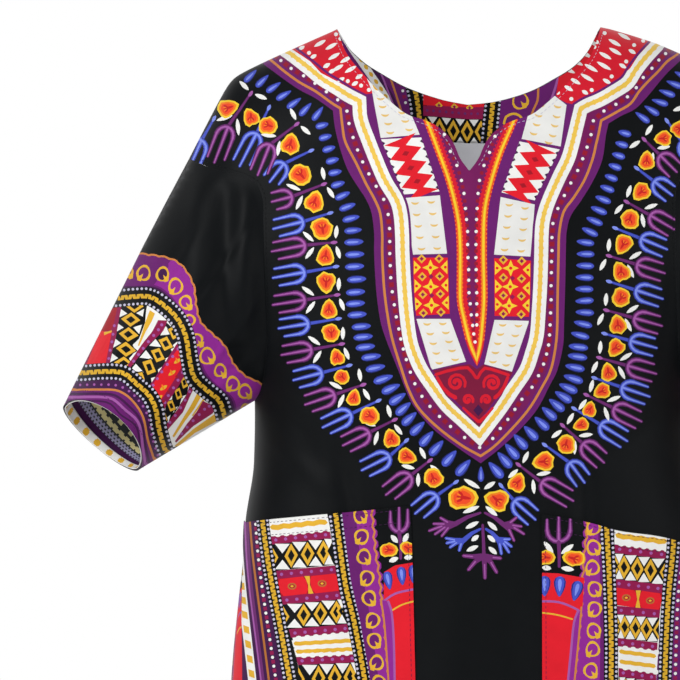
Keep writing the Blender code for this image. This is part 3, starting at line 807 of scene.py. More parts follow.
class Print:
    """Flat shapes of one printed piece, later ones over earlier ones."""

    def __init__(self):
        self.shapes = []

    def fill(self, dye, points, step=7.0):
        points = np.array(points, dtype=float)
        parts = []
        for a, b in zip(points, np.roll(points, -1, axis=0)):
            pieces = max(1, int(math.ceil(np.linalg.norm(b - a) / step)))
            t = np.linspace(0, 1, pieces, endpoint=False)[:, None]
            parts.append(a + (b - a) * t)
        self.shapes.append((dye, np.concatenate(parts)))

    def strip(self, dye, line, near, far):
        """Band beside a line, between two distances from it."""
        first = offset(line, near)
        second = offset(line, far)
        for i in range(len(line) - 1):
            self.shapes.append((dye, np.array([first[i], first[i + 1], second[i + 1], second[i]])))

    def between(self, dye, first, second):
        """Band between two lines run the same way."""
        count = max(len(first), len(second))
        first = resample(first, count)
        second = resample(second, count)
        for i in range(count - 1):
            self.shapes.append((dye, np.array([first[i], first[i + 1], second[i + 1], second[i]])))

    def spot(self, dye, x, y, radius, other=None, sides=8):
        """Round or oval spot."""
        turn = np.arange(sides) * 2 * math.pi / sides + 0.3
        points = np.stack([radius * np.cos(turn), (other or radius) * np.sin(turn)], axis=-1)
        self.shapes.append((dye, points + (x, y)))

    def stroke(self, dye, points, width, end_width=None):
        """Brush stroke with pointed round ends."""
        line = np.array(points, dtype=float)
        count = len(line)
        widths = np.linspace(width, end_width if end_width is not None else width, count) / 2
        left = line + (offset(line, 1.0) - line) * widths[:, None]
        right = line - (offset(line, 1.0) - line) * widths[:, None]
        start = line[0] - unit(line[1] - line[0]) * widths[0] * 0.9
        finish = line[-1] + unit(line[-1] - line[-2]) * widths[-1] * 0.9
        self.shapes.append((dye, np.concatenate([[start], left, [finish], right[::-1]])))

    def leaf(self, x0, y0, x1, y1, width, dye="white"):
        """Pointed oval between two ends."""
        a = np.array([x0, y0], dtype=float)
        b = np.array([x1, y1], dtype=float)
        t = np.array([0.0, 0.14, 0.38, 0.62, 0.86, 1.0])
        swell = np.array([0.12, 0.62, 1.0, 1.0, 0.62, 0.12]) * width / 2
        side = sideways(unit(b - a))
        line = a + (b - a) * t[:, None]
        self.shapes.append((dye, np.concatenate([line + side * swell[:, None],
                                                 (line - side * swell[:, None])[::-1]])))

    def petal(self, x, y, direction, length=16.0, width=6.4, taper=1.0):
        """Blue petal with a light heart; the taper gathers it towards the end it points to."""
        axis = np.array(direction, dtype=float)
        side = sideways(axis)
        t = np.array([-0.5, -0.42, -0.25, 0.0, 0.25, 0.42, 0.5])
        drop = np.array([0.25, 0.75, 1.0, 0.92, 0.62, 0.34, 0.1])
        lens = np.array([0.20, 0.62, 0.92, 1.0, 0.92, 0.58, 0.14])
        swell = (lens + (drop - lens) * taper) * width / 2
        whole = t * length
        heart = t * length * 0.62 - 0.06 * length
        for dye, share, along in (("navy", 1.35, whole), ("blue", 1.0, whole), ("lightblue", 0.42, heart)):
            narrow = side * (swell * share)[:, None]
            line = np.array([x, y]) + axis * along[:, None]
            self.shapes.append((dye, np.concatenate([line + narrow, (line - narrow)[::-1]])))

    def lozenge(self, dye, x, y, half_x, half_y, shear=0.0):
        points = [(x - half_x, y - shear * half_x), (x, y - half_y),
                  (x + half_x, y + shear * half_x), (x, y + half_y)]
        self.fill(dye, points)


# Flower outlines about their middle: the first place of each faces the stem
FLOWERS = (
    ((-11, 0), (-8, -4), (-3, -7), (2, -9), (6, -9), (9, -6), (10, -2), (11, 2), (9, 6), (6, 9), (1, 8),
     (-3, 7), (-8, 4)),
    ((-10, 0), (-8, -6), (-4, -9), (1, -9), (5, -10), (9, -7), (10, -2), (10, 3), (7, 7), (3, 8), (0, 10),
     (-4, 8), (-8, 5)),
    ((-11, -2), (-7, -6), (-2, -8), (2, -9), (7, -8), (9, -4), (11, 0), (8, 4), (7, 8), (3, 10), (-2, 9),
     (-5, 6), (-9, 3)),
    ((-11, 1), (-8, -4), (-4, -6), (0, -9), (5, -9), (9, -7), (10, -2), (9, 2), (10, 6), (6, 9), (1, 9),
     (-4, 7), (-8, 5)),
)


# Veins of a flower: turn from its axis, near and far end, width
VEINS = ((-0.70, 0.2, 5.6, 2.2, "brick"), (0.04, -5.4, 5.0, 2.4, "brick"), (0.80, 0.2, 5.8, 2.2, "brick"),
         (-0.33, 2.0, 5.6, 1.2, "orange"), (0.42, 2.0, 5.6, 1.2, "orange"))


def flower(art, x, y, angle, size, kind, flat=1.0):
    """Fan-shaped flower: yellow rim, orange body, vermilion heart with darker veins."""
    base = np.array(FLOWERS[kind % len(FLOWERS)], dtype=float) * size * 1.06
    base[:, 1] *= flat
    for dye, share in (("yellow", 1.0), ("orange", 0.80), ("vermilion", 0.60)):
        p = base * share + np.array([(1.0 - share) * 1.6 * size, 0.0])
        art.fill(dye, turned(p, x, y, angle))
    for turn, near, far, width, dye in VEINS:
        ahead = angle + turn + 0.12 * kind
        art.leaf(x + near * size * math.cos(ahead), y + near * size * math.sin(ahead),
                 x + far * size * math.cos(ahead), y + far * size * math.sin(ahead), width * size, dye)


def prongs(art, fork, direction, length, spread, dark, mid, light, width=4.2):
    """Head of a trident: a round fork with three long tines that thin towards their ends."""
    fork = np.array(fork, dtype=float)
    axis = unit(np.array(direction, dtype=float))
    side = sideways(axis)
    turn = np.linspace(-0.5 * math.pi, 0.5 * math.pi, 9)
    bend = min(spread * 1.15, length * 0.45)
    arc = [fork + axis * (bend - bend * math.cos(t)) + side * spread * math.sin(t) for t in turn]
    first = fork + axis * length * 0.93 - side * spread
    last = fork + axis * length * 0.86 + side * spread
    tines = [[arc[1], arc[0], (first + arc[0]) / 2, first], [arc[-2], arc[-1], (last + arc[-1]) / 2, last],
             [fork + axis * length * t for t in (0.0, 0.35, 0.7, 1.02)]]
    for dye, share, end in ((dark, 1.3, 0.80), (mid, 1.0, 0.50), (light, 0.48, 0.26)):
        art.stroke(dye, arc, width * share)
        for tine in tines:
            art.stroke(dye, tine, width * share, width * end)


TRIDENT_SPREAD = 8.7
BLUES = ("navy", "blue", "lightblue")
PURPLES = ("plum", "mauve", "lilac")


def stem_places(root, tip, fork):
    """Root, tip and fork of a trident; without a charted fork, one a little past its middle."""
    root = np.array(root, dtype=float)
    tip = np.array(tip, dtype=float)
    return root, tip, root + (tip - root) * 0.52 if fork is None else np.array(fork, dtype=float)


def trident(art, dyes, root, tip, fork):
    """Stem and prongs in a dark, a middle and a light dye."""
    root, tip, fork = stem_places(root, tip, fork)
    stem = [root, root + (fork - root) * 0.5, fork]
    art.stroke(dyes[0], stem, 2.3, 4.0)
    art.stroke(dyes[1], stem, 1.4, 3.0)
    prongs(art, fork, tip - fork, float(np.linalg.norm(tip - fork)), TRIDENT_SPREAD, *dyes)
    axis = unit(fork - root)
    art.leaf(*(root - axis * 1.0), *(root + axis * 6.0), 3.4, dyes[2])


def spray(art, root, tip, fork):
    """Purple trident with two leaves on each side of its stem."""
    root, tip, fork = stem_places(root, tip, fork)
    trident(art, PURPLES, root, tip, fork)
    axis = unit(fork - root)
    side = sideways(axis)
    reach = float(np.linalg.norm(fork - root))
    tuck = float(np.interp(root[1], (340, 400), (0.0, 4.5)))
    for across in (side, -side):
        a = root + across * 4.0 + axis * (0.5 + tuck)
        b = root + across * 16.5 + axis * (tuck - 2.0)
        art.leaf(*a, *b, 4.3)
        a = root + axis * (reach * 0.72) + across * 3.0
        b = root + axis * (reach * 1.02) + across * 13.5
        art.leaf(*a, *b, 4.1)


def ring_flowers(art):
    """Flowers of the ring, each opening away from the purple stem beside it."""
    knots = []
    for places in PURPLE_SPRAYS:
        root, _, fork = stem_places(*places)
        knots.append(root + (fork - root) * 0.30)
    for x, y, size, kind in RING_FLOWERS:
        knot = min(knots, key=lambda place: math.hypot(x - place[0], y - place[1]))
        flower(art, x, y, math.atan2(y - knot[1], x - knot[0]), size, kind)


def crescent(art, x, y, width, angle=0.0):
    """Small gold arc, open upwards."""
    turn = np.linspace(0.15 * math.pi, 0.85 * math.pi, 5)
    outer = np.stack([np.cos(turn) * width / 2, np.sin(turn) * 3.6 - 1.6], axis=-1)
    inner = np.stack([np.cos(turn[::-1]) * width / 2, np.sin(turn[::-1]) * 1.4 - 1.6], axis=-1)
    art.shapes.append(("pale", turned(np.concatenate([outer, inner]), x, y, angle)))


def quad_at(corners, u, v):
    """Place inside a four-cornered block: u across, v down."""
    a, b, c, d = (np.array(p, dtype=float) for p in corners)
    return (a * (1 - u) + b * u) * (1 - v) + (d * (1 - u) + c * u) * v


def crescents(art, corners, rows):
    """Pale block filled with two columns of gold arcs."""
    art.fill("cream", corners)
    for row in range(rows):
        v = (row + 0.5) / rows
        for u in (0.27, 0.73):
            crescent(art, *quad_at(corners, u, v), 8.4)


def zigzag_block(art, corners, centres):
    """White block with wide red lozenges joined point to point, and toothed edges."""
    art.fill("white", corners)
    axis = unit(np.array(centres[-1]) - np.array(centres[0]))
    gap = float(np.linalg.norm(np.array(centres[1]) - np.array(centres[0])))
    places = [np.array(centres[0]) - axis * gap] + [np.array(c) for c in centres]
    places.append(np.array(centres[-1]) + axis * gap)
    side = sideways(axis)
    neck = gap * 0.5 + 0.2
    for k, centre in enumerate(places):
        up = 0.0 if k == 0 else 1.0
        down = 0.0 if k == len(places) - 1 else 1.0
        art.fill("red", [centre - side * 17.0, centre - axis * neck * up - side * 3.0 * up,
                         centre - axis * neck * up + side * 3.0 * up, centre + side * 17.0,
                         centre + axis * neck * down + side * 3.0 * down,
                         centre + axis * neck * down - side * 3.0 * down], 40.0)
        if up and down:
            art.fill("darkred", [centre - side * 4.0, centre - axis * 2.6, centre + side * 4.0, centre + axis * 2.6])
    for edge in (0, 1):
        for k in range(7):
            v = (k + 0.5) / 7
            place = quad_at(corners, edge, v)
            inward = unit(quad_at(corners, 0.5, v) - place)
            art.fill("plum", [place - axis * 2.2, place + inward * 2.6, place + axis * 2.2])


def star(art, x, y, size):
    """Four-pointed yellow star."""
    turn = np.arange(8) * math.pi / 4
    r = np.where(np.arange(8) % 2 == 0, size, size * 0.42)
    art.fill("yellow", np.stack([x + r * np.cos(turn), y + r * np.sin(turn)], axis=-1))


def star_block(art, corners, stars):
    """Red block with yellow stars and small crimson squares."""
    art.fill("red", corners)
    for v in (0.02, 0.33, 0.64, 0.96):
        for u in (0.25, 0.75):
            place = quad_at(corners, u, v)
            art.lozenge("gold", *place, 4.6, 4.6)
            art.lozenge("crimson", *place, 2.2, 2.2)
    for x, y in stars:
        star(art, x, y, 8.2)
        art.spot("red", x, y, 1.7)
    for v in (0.17, 0.49, 0.80):
        for u in (0.02, 0.98):
            place = quad_at(corners, u, v)
            inner = quad_at(corners, 0.22 if u < 0.5 else 0.78, v)
            art.fill("yellow", [place + (0, -7), inner, place + (0, 7)])
            art.spot("red", *(place * 0.7 + inner * 0.3), 1.5)
    for v in (0.33, 0.66):
        place = quad_at(corners, 0.5, v)
        art.lozenge("crimson", *place, 2.6, 2.6)


def spiral(art, dye, x, y, radius, turns, start, hand, width):
    """Scroll wound in to its middle."""
    count = int(12 * turns) + 1
    t = np.linspace(0, 1, count)
    r = radius * (1 - 0.86 * t)
    a = start + hand * t * turns * 2 * math.pi
    art.stroke(dye, np.stack([x + r * np.cos(a), y + r * np.sin(a)], axis=-1), width, width * 1.5)


def dotted(art, places, radius, square, size):
    """Row of white dots with small squares between them."""
    places = np.array(places, dtype=float)
    for a, b in zip(places[:-1], places[1:]):
        middle = (a + b) / 2
        axis = unit(b - a)
        side = sideways(axis)
        art.fill(square, [middle - axis * size - side * size, middle + axis * size - side * size,
                          middle + axis * size + side * size, middle - axis * size + side * size])
    for x, y in places:
        art.spot("white", x, y, radius)


def rope(art, line, half, spacing=7.0):
    """Rope band: white beads, black line, gold zigzag, black line, white beads."""
    art.strip("black", line, -half, half)
    edge = half - 1.7
    for away in (-edge, edge):
        beads, _ = evenly(offset(line, away), 4.5)
        for x, y in beads:
            art.spot("pearl", x, y, 1.45, sides=6)
    wave, direction = evenly(line, spacing / 2)
    side = np.stack([direction[:, 1], -direction[:, 0]], axis=-1)
    sway = np.where(np.arange(len(wave)) % 2 == 0, 1.0, -1.0)[:, None]
    art.stroke("black", wave, 4.2)
    for place, across, ahead, turn in zip(wave, side, direction, sway[:, 0]):
        a, b = across * 2.3, ahead * (spacing * 0.22)
        slant = ahead * turn * 0.7
        art.fill("rope", [place - a - b - slant, place - a + b - slant, place + a + b + slant, place + a - b + slant])


def jewel(art, x, y, half_x, half_y, shear=0.0):
    """Gold lozenge, ringed and hearted in black."""
    art.lozenge("black", x, y, half_x * 1.26, half_y * 1.2, shear)
    art.lozenge("gold", x, y, half_x * 1.06, half_y * 1.04, shear)
    art.lozenge("black", x, y, half_x * 0.54, half_y * 0.54, shear)


def ring(art, x, y, radius, tail=1.0, ground="purple"):
    """Gold ring, a little taller than wide, with a heavy bead on its lower side."""
    turn = np.arange(16) * 2 * math.pi / 16
    for dye, reach, uneven in (("gold", 0.0, 0.07 * np.sin(3 * turn + x)), (ground, 2.2, 0.03 * np.sin(2 * turn + y))):
        wave = 1.0 + uneven
        art.shapes.append((dye, np.stack([x + (radius - reach) * wave * np.cos(turn),
                                          y + (radius * 1.10 - reach) * wave * np.sin(turn)], axis=-1)))
    art.fill("gold", [(x + tail * 0.4, y + 0.4), (x + tail * 3.4, y + 2.6), (x + tail * 7.0, y + 2.0),
                      (x + tail * 6.4, y + 7.2), (x + tail * 2.6, y + 8.4), (x + tail * 1.8, y + 5.0)], 9.0)


# ---------------------------------------------------------------- print: chart of the body

EDGE_LEFT = (
    ((240, 45), (264.6, 64.4), (283, 78.5), (299.3, 89.9), (315.5, 98.6), (332.9, 111.1)),
    ((332.9, 111.1), (335, 128.4), (340.4, 150.1), (348, 171), (359, 189), (366, 200), (371.5, 214),
     (374, 235), (374, 255), (376, 290), (380, 320), (386, 340), (397.9, 370), (405.2, 389),
     (414, 406.7), (433, 428.7), (458, 447.7), (480, 462.7)),
)
EDGE_RIGHT = (
    ((480, 462.7), (497.6, 449.2), (516.6, 431.6), (535.7, 409.6), (548.9, 384.7), (556.2, 370),
     (562, 345), (563, 320), (564, 290), (565, 245), (566, 230), (570, 216), (581, 200), (593, 180),
     (601.6, 160), (605.2, 136), (607.9, 124)),
    ((607.9, 124), (620.4, 116.4), (634.6, 109.3), (647.1, 96.8), (665, 75.4), (680, 61), (703, 40)),
)
LINE_LEFT = (
    ((255, 47), (272.2, 60.7), (284.1, 71), (299.3, 82.3), (315.5, 91.6), (331.8, 103.5), (340.4, 108.9)),
    ((340.4, 108.9), (342.6, 128.4), (345.5, 143), (356.4, 164.3), (366, 184.4), (374.5, 200),
     (380, 214), (382, 235), (382, 255), (384, 290), (388, 320), (393, 343), (401.5, 370),
     (408.1, 389), (418.4, 408.1), (437.4, 427.2), (460.9, 444.8), (480, 455.5)),
)
LINE_RIGHT = (
    ((480, 455.5), (493.2, 446.2), (510.8, 428.7), (528.4, 408.1), (541.5, 386.1), (549.6, 370),
     (554, 350), (556, 330), (556.5, 300), (557.5, 255), (558.5, 232), (563, 212), (573, 198),
     (584, 180), (591.8, 160), (595.4, 145), (598, 134.3), (600.7, 120.9)),
    ((600.7, 120.9), (606, 118.2), (618.6, 111.1), (630.2, 103.9), (639.1, 91.4), (648.9, 80.7),
     (658.8, 70.9), (667.7, 61), (678.4, 53.5), (700, 35)),
)
CORD_LEFT = (
    ((262, 32), (289, 52), (299.3, 60.1), (310.1, 68.8), (323.1, 79.6), (337.2, 88.3), (348, 95.5),
     (359.5, 101.5)),
    ((359.5, 101.5), (361, 120), (369.3, 143), (376, 160), (385, 181), (396.3, 200), (400.5, 215),
     (402, 235), (402.5, 255), (404, 285), (406.5, 315), (410, 340), (415, 356), (421.5, 370),
     (432, 385.5), (446, 404.5), (462, 419.5), (478.7, 435.3)),
)
CORD_RIGHT = (
    ((478.7, 435.3), (489.5, 421), (500, 407), (512, 389), (524.7, 370), (531, 352), (535.5, 335),
     (537.5, 310), (539, 285), (540, 255), (540.5, 235), (542, 220), (547, 203), (558, 178),
     (566.8, 160), (571.3, 145), (575.7, 127.1), (580, 109.5)),
    ((580, 109.5), (586.4, 105.7), (600.7, 99.5), (615.9, 90.5), (627.5, 82.5), (635.5, 70),
     (645.4, 57.5), (657.9, 44.1), (672, 30)),
)
DOTS_LEFT = (
    (270, 51), (280.8, 59.9), (291.1, 68.2), (303.6, 75.8), (315, 83.4), (326.4, 92.1), (337.7, 100.2),
    (347, 111.6), (349, 124), (353, 138), (357.5, 150.5), (362.6, 162.4), (368.8, 174.4), (376, 186.8),
    (383.6, 199.9), (388, 215), (389.3, 229), (389.5, 242), (389.5, 254), (390, 266), (390.5, 278),
    (392, 292), (394, 305), (396, 317), (398.5, 329), (400.5, 339), (403, 349), (406, 359.5),
    (410, 372), (414.5, 383.5), (421.5, 396), (429.5, 406), (439, 416), (450, 426), (464, 437),
    (479, 447),
)
DOTS_RIGHT = (
    (492, 438), (499.5, 428), (507, 419), (514, 409), (521, 399), (531, 387), (537.5, 375.5),
    (542.5, 364), (545.5, 354), (547.5, 345), (548.5, 335), (549, 325), (549.5, 313), (550, 300),
    (550, 286), (550.3, 273), (550.5, 262), (551, 251), (551, 238), (552, 224), (557, 209),
    (563.5, 196), (570, 183.5), (577, 171), (582, 159.3), (586.4, 147.7), (590.4, 135.2),
    (592.7, 121.3), (603.4, 111.5), (615.4, 104.8), (627, 97.2), (636, 87.9), (643.1, 77.6),
    (652, 68.2), (659.2, 59.7), (666.3, 53), (674, 45), (683, 36),
)
CORD_HALF = 7.2
GRAINS_LEFT = (
    (319.9, 42.8, 13), (331.2, 46, 13), (334, 56.3, 13), (345.9, 59.6, 13), (350.6, 69.6, 13),
    (338, 68, 12), (313.4, 56.3, 7), (326.7, 65.5, 8), (332, 71.3, 8), (354.9, 83.9, 7), (301.4, 47.1, 7),
    (341, 80, 8), (359, 77, 8), (308, 36, 12), (322, 30, 12),
)
BEADS_LEFT = ((309, 52.5), (347.8, 81.5), (368.8, 90.4), (326.4, 66.1), (340.5, 38.4), (336, 33.6),
              (296, 42), (348, 50), (361, 86))
GRAINS_RIGHT = (
    (624.8, 35.6, 14), (615, 42.3, 14), (615.4, 51.3, 14), (605.2, 55.7, 14), (603.8, 66, 16),
    (590.9, 68.2, 15), (586.9, 78, 15), (574.8, 81.6, 12), (568.1, 88.8, 10), (632.4, 51.3, 8),
    (622.6, 66, 8), (606.5, 81.6, 9), (584.6, 92.8, 7), (640, 34, 13),
)
BEADS_RIGHT = ((605.2, 32.5), (634.6, 44.6), (626.2, 61.5), (611.4, 76.7), (591.3, 90.5), (570.8, 99.5),
               (597.1, 41.9), (594.5, 46.8), (557.4, 93.2), (644, 40))
PETAL_TOP_LEFT = ((233, 66), (248.9, 74.7), (261, 80.1), (273, 86.8), (292.5, 102.2), (305.2, 109.6),
                  (324, 116))
PETAL_TOP_RIGHT = ((637, 121), (646.3, 114.6), (656.1, 106.6), (663.2, 97.7), (672, 87), (682, 76), (696, 64))
PETAL_SIDE_LEFT = ((320.5, 120), (325.3, 137.7), (332.6, 161.8), (338, 185.2), (347.4, 207.3), (352, 224),
                   (353.6, 237))
PETAL_SIDE_RIGHT = ((577.6, 341), (583.5, 315), (583, 291), (584.5, 254), (584.5, 242), (590, 230), (603, 198),
                    (615, 165), (622, 141.5), (625.7, 128))
PETAL_POINT_LEFT = (
    (353.8, 242.5), (354.7, 254.8), (354.5, 266.9), (356.6, 279.6), (355.5, 292.4), (355.3, 303.7),
    (357, 314.8), (361.2, 326.6), (363, 337), (365.2, 347), (371, 356.8), (375.3, 367.8), (383, 378.8),
    (390.6, 388.4), (397.2, 398.4), (403, 408.3), (409, 418.3), (417.1, 427.9), (426.2, 438.2),
    (436, 447.5), (449, 457.7), (462.7, 467),
)
PETAL_POINT_RIGHT = (
    (495.1, 469.4), (503.8, 459.4), (511.1, 450.8), (519.6, 441.2), (529.9, 432.5), (540.7, 422.9),
    (548.1, 413), (555.6, 404.7), (562.2, 396.4), (567.2, 387.8), (572.2, 378.5), (573.8, 367.4),
    (576.3, 356.6), (577.2, 347),
)
# Height on the chart, then the slope of a petal there in degrees, its length and its width
PETAL_SLOPES = (
    (236, 3, 19.0, 5.8), (330, 5, 19.0, 5.8), (357, 8, 19.5, 6.0), (368, 12, 19.5, 6.2), (378, 18, 20, 6.6),
    (388, 24, 19.5, 7.0), (398, 33, 19.0, 7.2), (408, 40, 18.5, 7.2), (428, 43, 18.5, 7.2), (438, 48, 19, 7.4),
    (468, 48, 20.5, 7.6),
)
# Blue tridents: root, tip, fork
BLUE_TRIDENTS = (
    ((215, 116), (187, 172), (201, 140)),
    ((270, 105.6), (240, 166), (256.5, 134)),
    ((313.4, 150), (270, 182), (284, 164)),
    ((332.6, 212.7), (273.5, 229), (303, 222)),
    ((338.5, 266.5), (273.2, 278), None),
    ((340.9, 318.4), (278.4, 328.5), None),
    ((351.5, 364.7), (294, 380), None),
    ((380.5, 399.3), (323, 427), None),
    ((407.9, 438.4), (362, 469.6), (389, 456)),
    ((457.5, 480), (415, 512.7), (436, 495)),
    ((498.7, 483), (534.4, 518.7), (513.8, 500.5)),
    ((541.8, 443), (584, 482), (569, 462.4)),
    ((571, 407), (626.4, 440.7), None),
    ((591, 377), (648.5, 396.4), None),
    ((601, 333), (656, 348), None),
    ((605.6, 281), (662, 299), None),
    ((612, 227.6), (666.3, 249.5), None),
    ((634, 167), (671.5, 195.5), None),
    ((665, 119), (697, 163), None),
    ((705, 88), (738, 150), None),
)
# Purple sprays: root, tip, fork
PURPLE_SPRAYS = (
    ((252, 91.5), (214.5, 162), (228, 127)),
    ((298.8, 123), (258, 175), (270, 145)),
    ((326.2, 183.7), (272, 202), (292, 197)),
    ((336.5, 242.6), (272, 251.6), (305, 245.5)),
    ((339.6, 294.7), (273, 305), None),
    ((344.2, 343.5), (281.5, 355), None),
    ((365.4, 383.7), (305.7, 404.4), None),
    ((396.7, 418.3), (343, 445), None),
    ((431.5, 458.4), (386, 494), (410, 475)),
    ((515.6, 462.6), (572, 500), (541, 482)),
    ((559.7, 423.4), (603, 462), None),
    ((583, 393.6), (640.5, 421.2), None),
    ((595.8, 357), (655.4, 373.7), None),
    ((602.8, 309.7), (661.4, 326), None),
    ((605.5, 255.5), (664, 273.4), None),
    ((623.6, 201), (673.3, 229.4), None),
    ((641.8, 138), (676, 172), None),
    ((688, 104), (722, 160), None),
)
# Flowers of the ring: middle, size and outline
RING_FLOWERS = (
    (228.2, 107.5, 0.98, 0), (250.9, 116.9, 0.84, 3), (268.6, 125.6, 0.90, 1), (290.4, 144.4, 0.98, 2),
    (301.2, 175.2, 1.06, 1), (314.5, 202, 1.0, 2), (322.6, 229.4, 1.06, 1), (325.6, 255.4, 0.94, 0),
    (326.2, 282.7, 0.98, 2), (329, 309, 0.88, 0), (331.4, 333.2, 0.88, 1), (337.1, 356.7, 0.77, 3),
    (342.3, 376.8, 0.73, 1), (353.8, 396.9, 0.76, 0), (370, 415.5, 0.94, 1), (391.2, 437.7, 0.86, 3),
    (407.4, 456.2, 0.86, 0), (432.5, 477, 0.94, 1), (516.8, 481.8, 0.90, 3), (542.6, 461, 1.0, 2),
    (565, 443.4, 0.92, 1), (579.6, 424.6, 0.72, 0), (588.8, 408.8, 0.72, 3), (600.8, 391, 0.80, 2),
    (607.2, 371.6, 0.84, 0), (614.4, 348.1, 0.86, 3), (616.7, 324.6, 0.90, 2), (620, 298.3, 0.92, 1),
    (620, 271.5, 0.92, 3), (622, 245.2, 0.94, 0), (628.9, 219.1, 0.94, 1), (640.4, 192.3, 0.90, 2),
    (646, 160.4, 0.86, 0), (662.5, 138.6, 0.80, 2), (679.5, 128.4, 0.84, 3), (707.5, 110.1, 0.90, 1),
)
PLACKET_LEFT = ((414, 95), (423, 119), (435, 151), (446, 182), (454, 215), (456.5, 240), (456.8, 270),
                (456.8, 300), (460, 317), (467, 345), (476.3, 366))
PLACKET_RIGHT = ((524, 95), (517, 119), (502, 155), (491.5, 189), (486.5, 215), (485.5, 253), (486, 285),
                 (486, 300), (485, 317), (482, 346), (476.3, 366))
PLACKET_DOTS_LEFT = ((436, 107), (440, 121), (444, 135), (450, 152), (456.5, 166), (461, 181), (463.5, 194),
                     (465, 209), (466, 220), (467, 232), (467, 245), (467.3, 258), (468, 270), (468, 280.5),
                     (468.3, 293), (469.5, 304), (470.5, 315), (472, 325.5), (473, 334), (474.3, 342))
PLACKET_DOTS_RIGHT = ((503, 107), (499, 122), (494.5, 137), (489, 153), (483.5, 166), (479, 181),
                      (477.5, 194), (476.5, 209), (476, 220), (475.5, 232), (475.3, 245), (475.2, 258),
                      (475.5, 270), (475.7, 281), (476, 293), (476, 304), (476, 315), (476, 325))


def charted(parts):
    """One line through charted parts, sharp where they meet."""
    return joined(*[spline(part) for part in parts])


def whole_path(left, right):
    return joined(charted(left), charted(right))


def closed_over(line):
    """Region between a V path and the space above the shoulders."""
    return np.concatenate([line, [(line[-1][0] + 30, -60), (line[0][0] - 30, -60)]])


def border_bands(art):
    """Purple border, orange line, dotted band and white and gold cord of the yoke."""
    edge = whole_path(EDGE_LEFT, EDGE_RIGHT)
    line = whole_path(LINE_LEFT, LINE_RIGHT)
    cord = whole_path(CORD_LEFT, CORD_RIGHT)
    art.fill("purple", closed_over(edge))
    art.fill("berry", closed_over(offset(line, 1.4)))
    art.strip("purple", line, 1.0, 3.6)
    art.strip("line", line, -1.2, 1.3)
    dotted(art, DOTS_LEFT + DOTS_RIGHT, 1.7, "wine", 2.4)
    art.fill("white", closed_over(offset(cord, -CORD_HALF)))
    art.fill("purple", closed_over(offset(cord, CORD_HALF)))
    art.strip("corn", cord, -2.0, 2.1)
    beads, _ = evenly(cord, 7.0)
    for x, y in beads:
        art.spot("corn", x, y, 2.9, sides=6)


def shoulder_strips(art):
    """Red strips on the shoulders with their white grains and beads."""
    art.fill("scarlet", [(270, 10), (284, 41), (293.8, 49.8), (310.1, 61.2), (320.9, 73.1), (337.2, 81.8),
                     (352, 90), (366, 94.8), (377, 93), (366, 72), (352, 40), (346, 0), (280, -20)])
    art.fill("scarlet", [(664, 24), (650.7, 42.3), (638.2, 55.7), (630.2, 68.2), (620.4, 77.1), (607.9, 86),
                     (590, 96.8), (572.1, 104.8), (566, 103.5), (558.5, 99.5), (553.5, 94.1), (557.5, 84.3),
                     (561.4, 77.1), (575, 50), (595, 10), (600, -20), (690, -20)])
    for grains, slope in ((GRAINS_LEFT, -0.52), (GRAINS_RIGHT, 0.52)):
        for x, y, length in grains:
            c, s = 0.5 * length * math.cos(slope), 0.5 * length * math.sin(slope)
            art.leaf(x - c, y - s, x + c, y + s, 3.9)
    for x, y in BEADS_LEFT + BEADS_RIGHT:
        art.spot("white", x, y, 2.1)


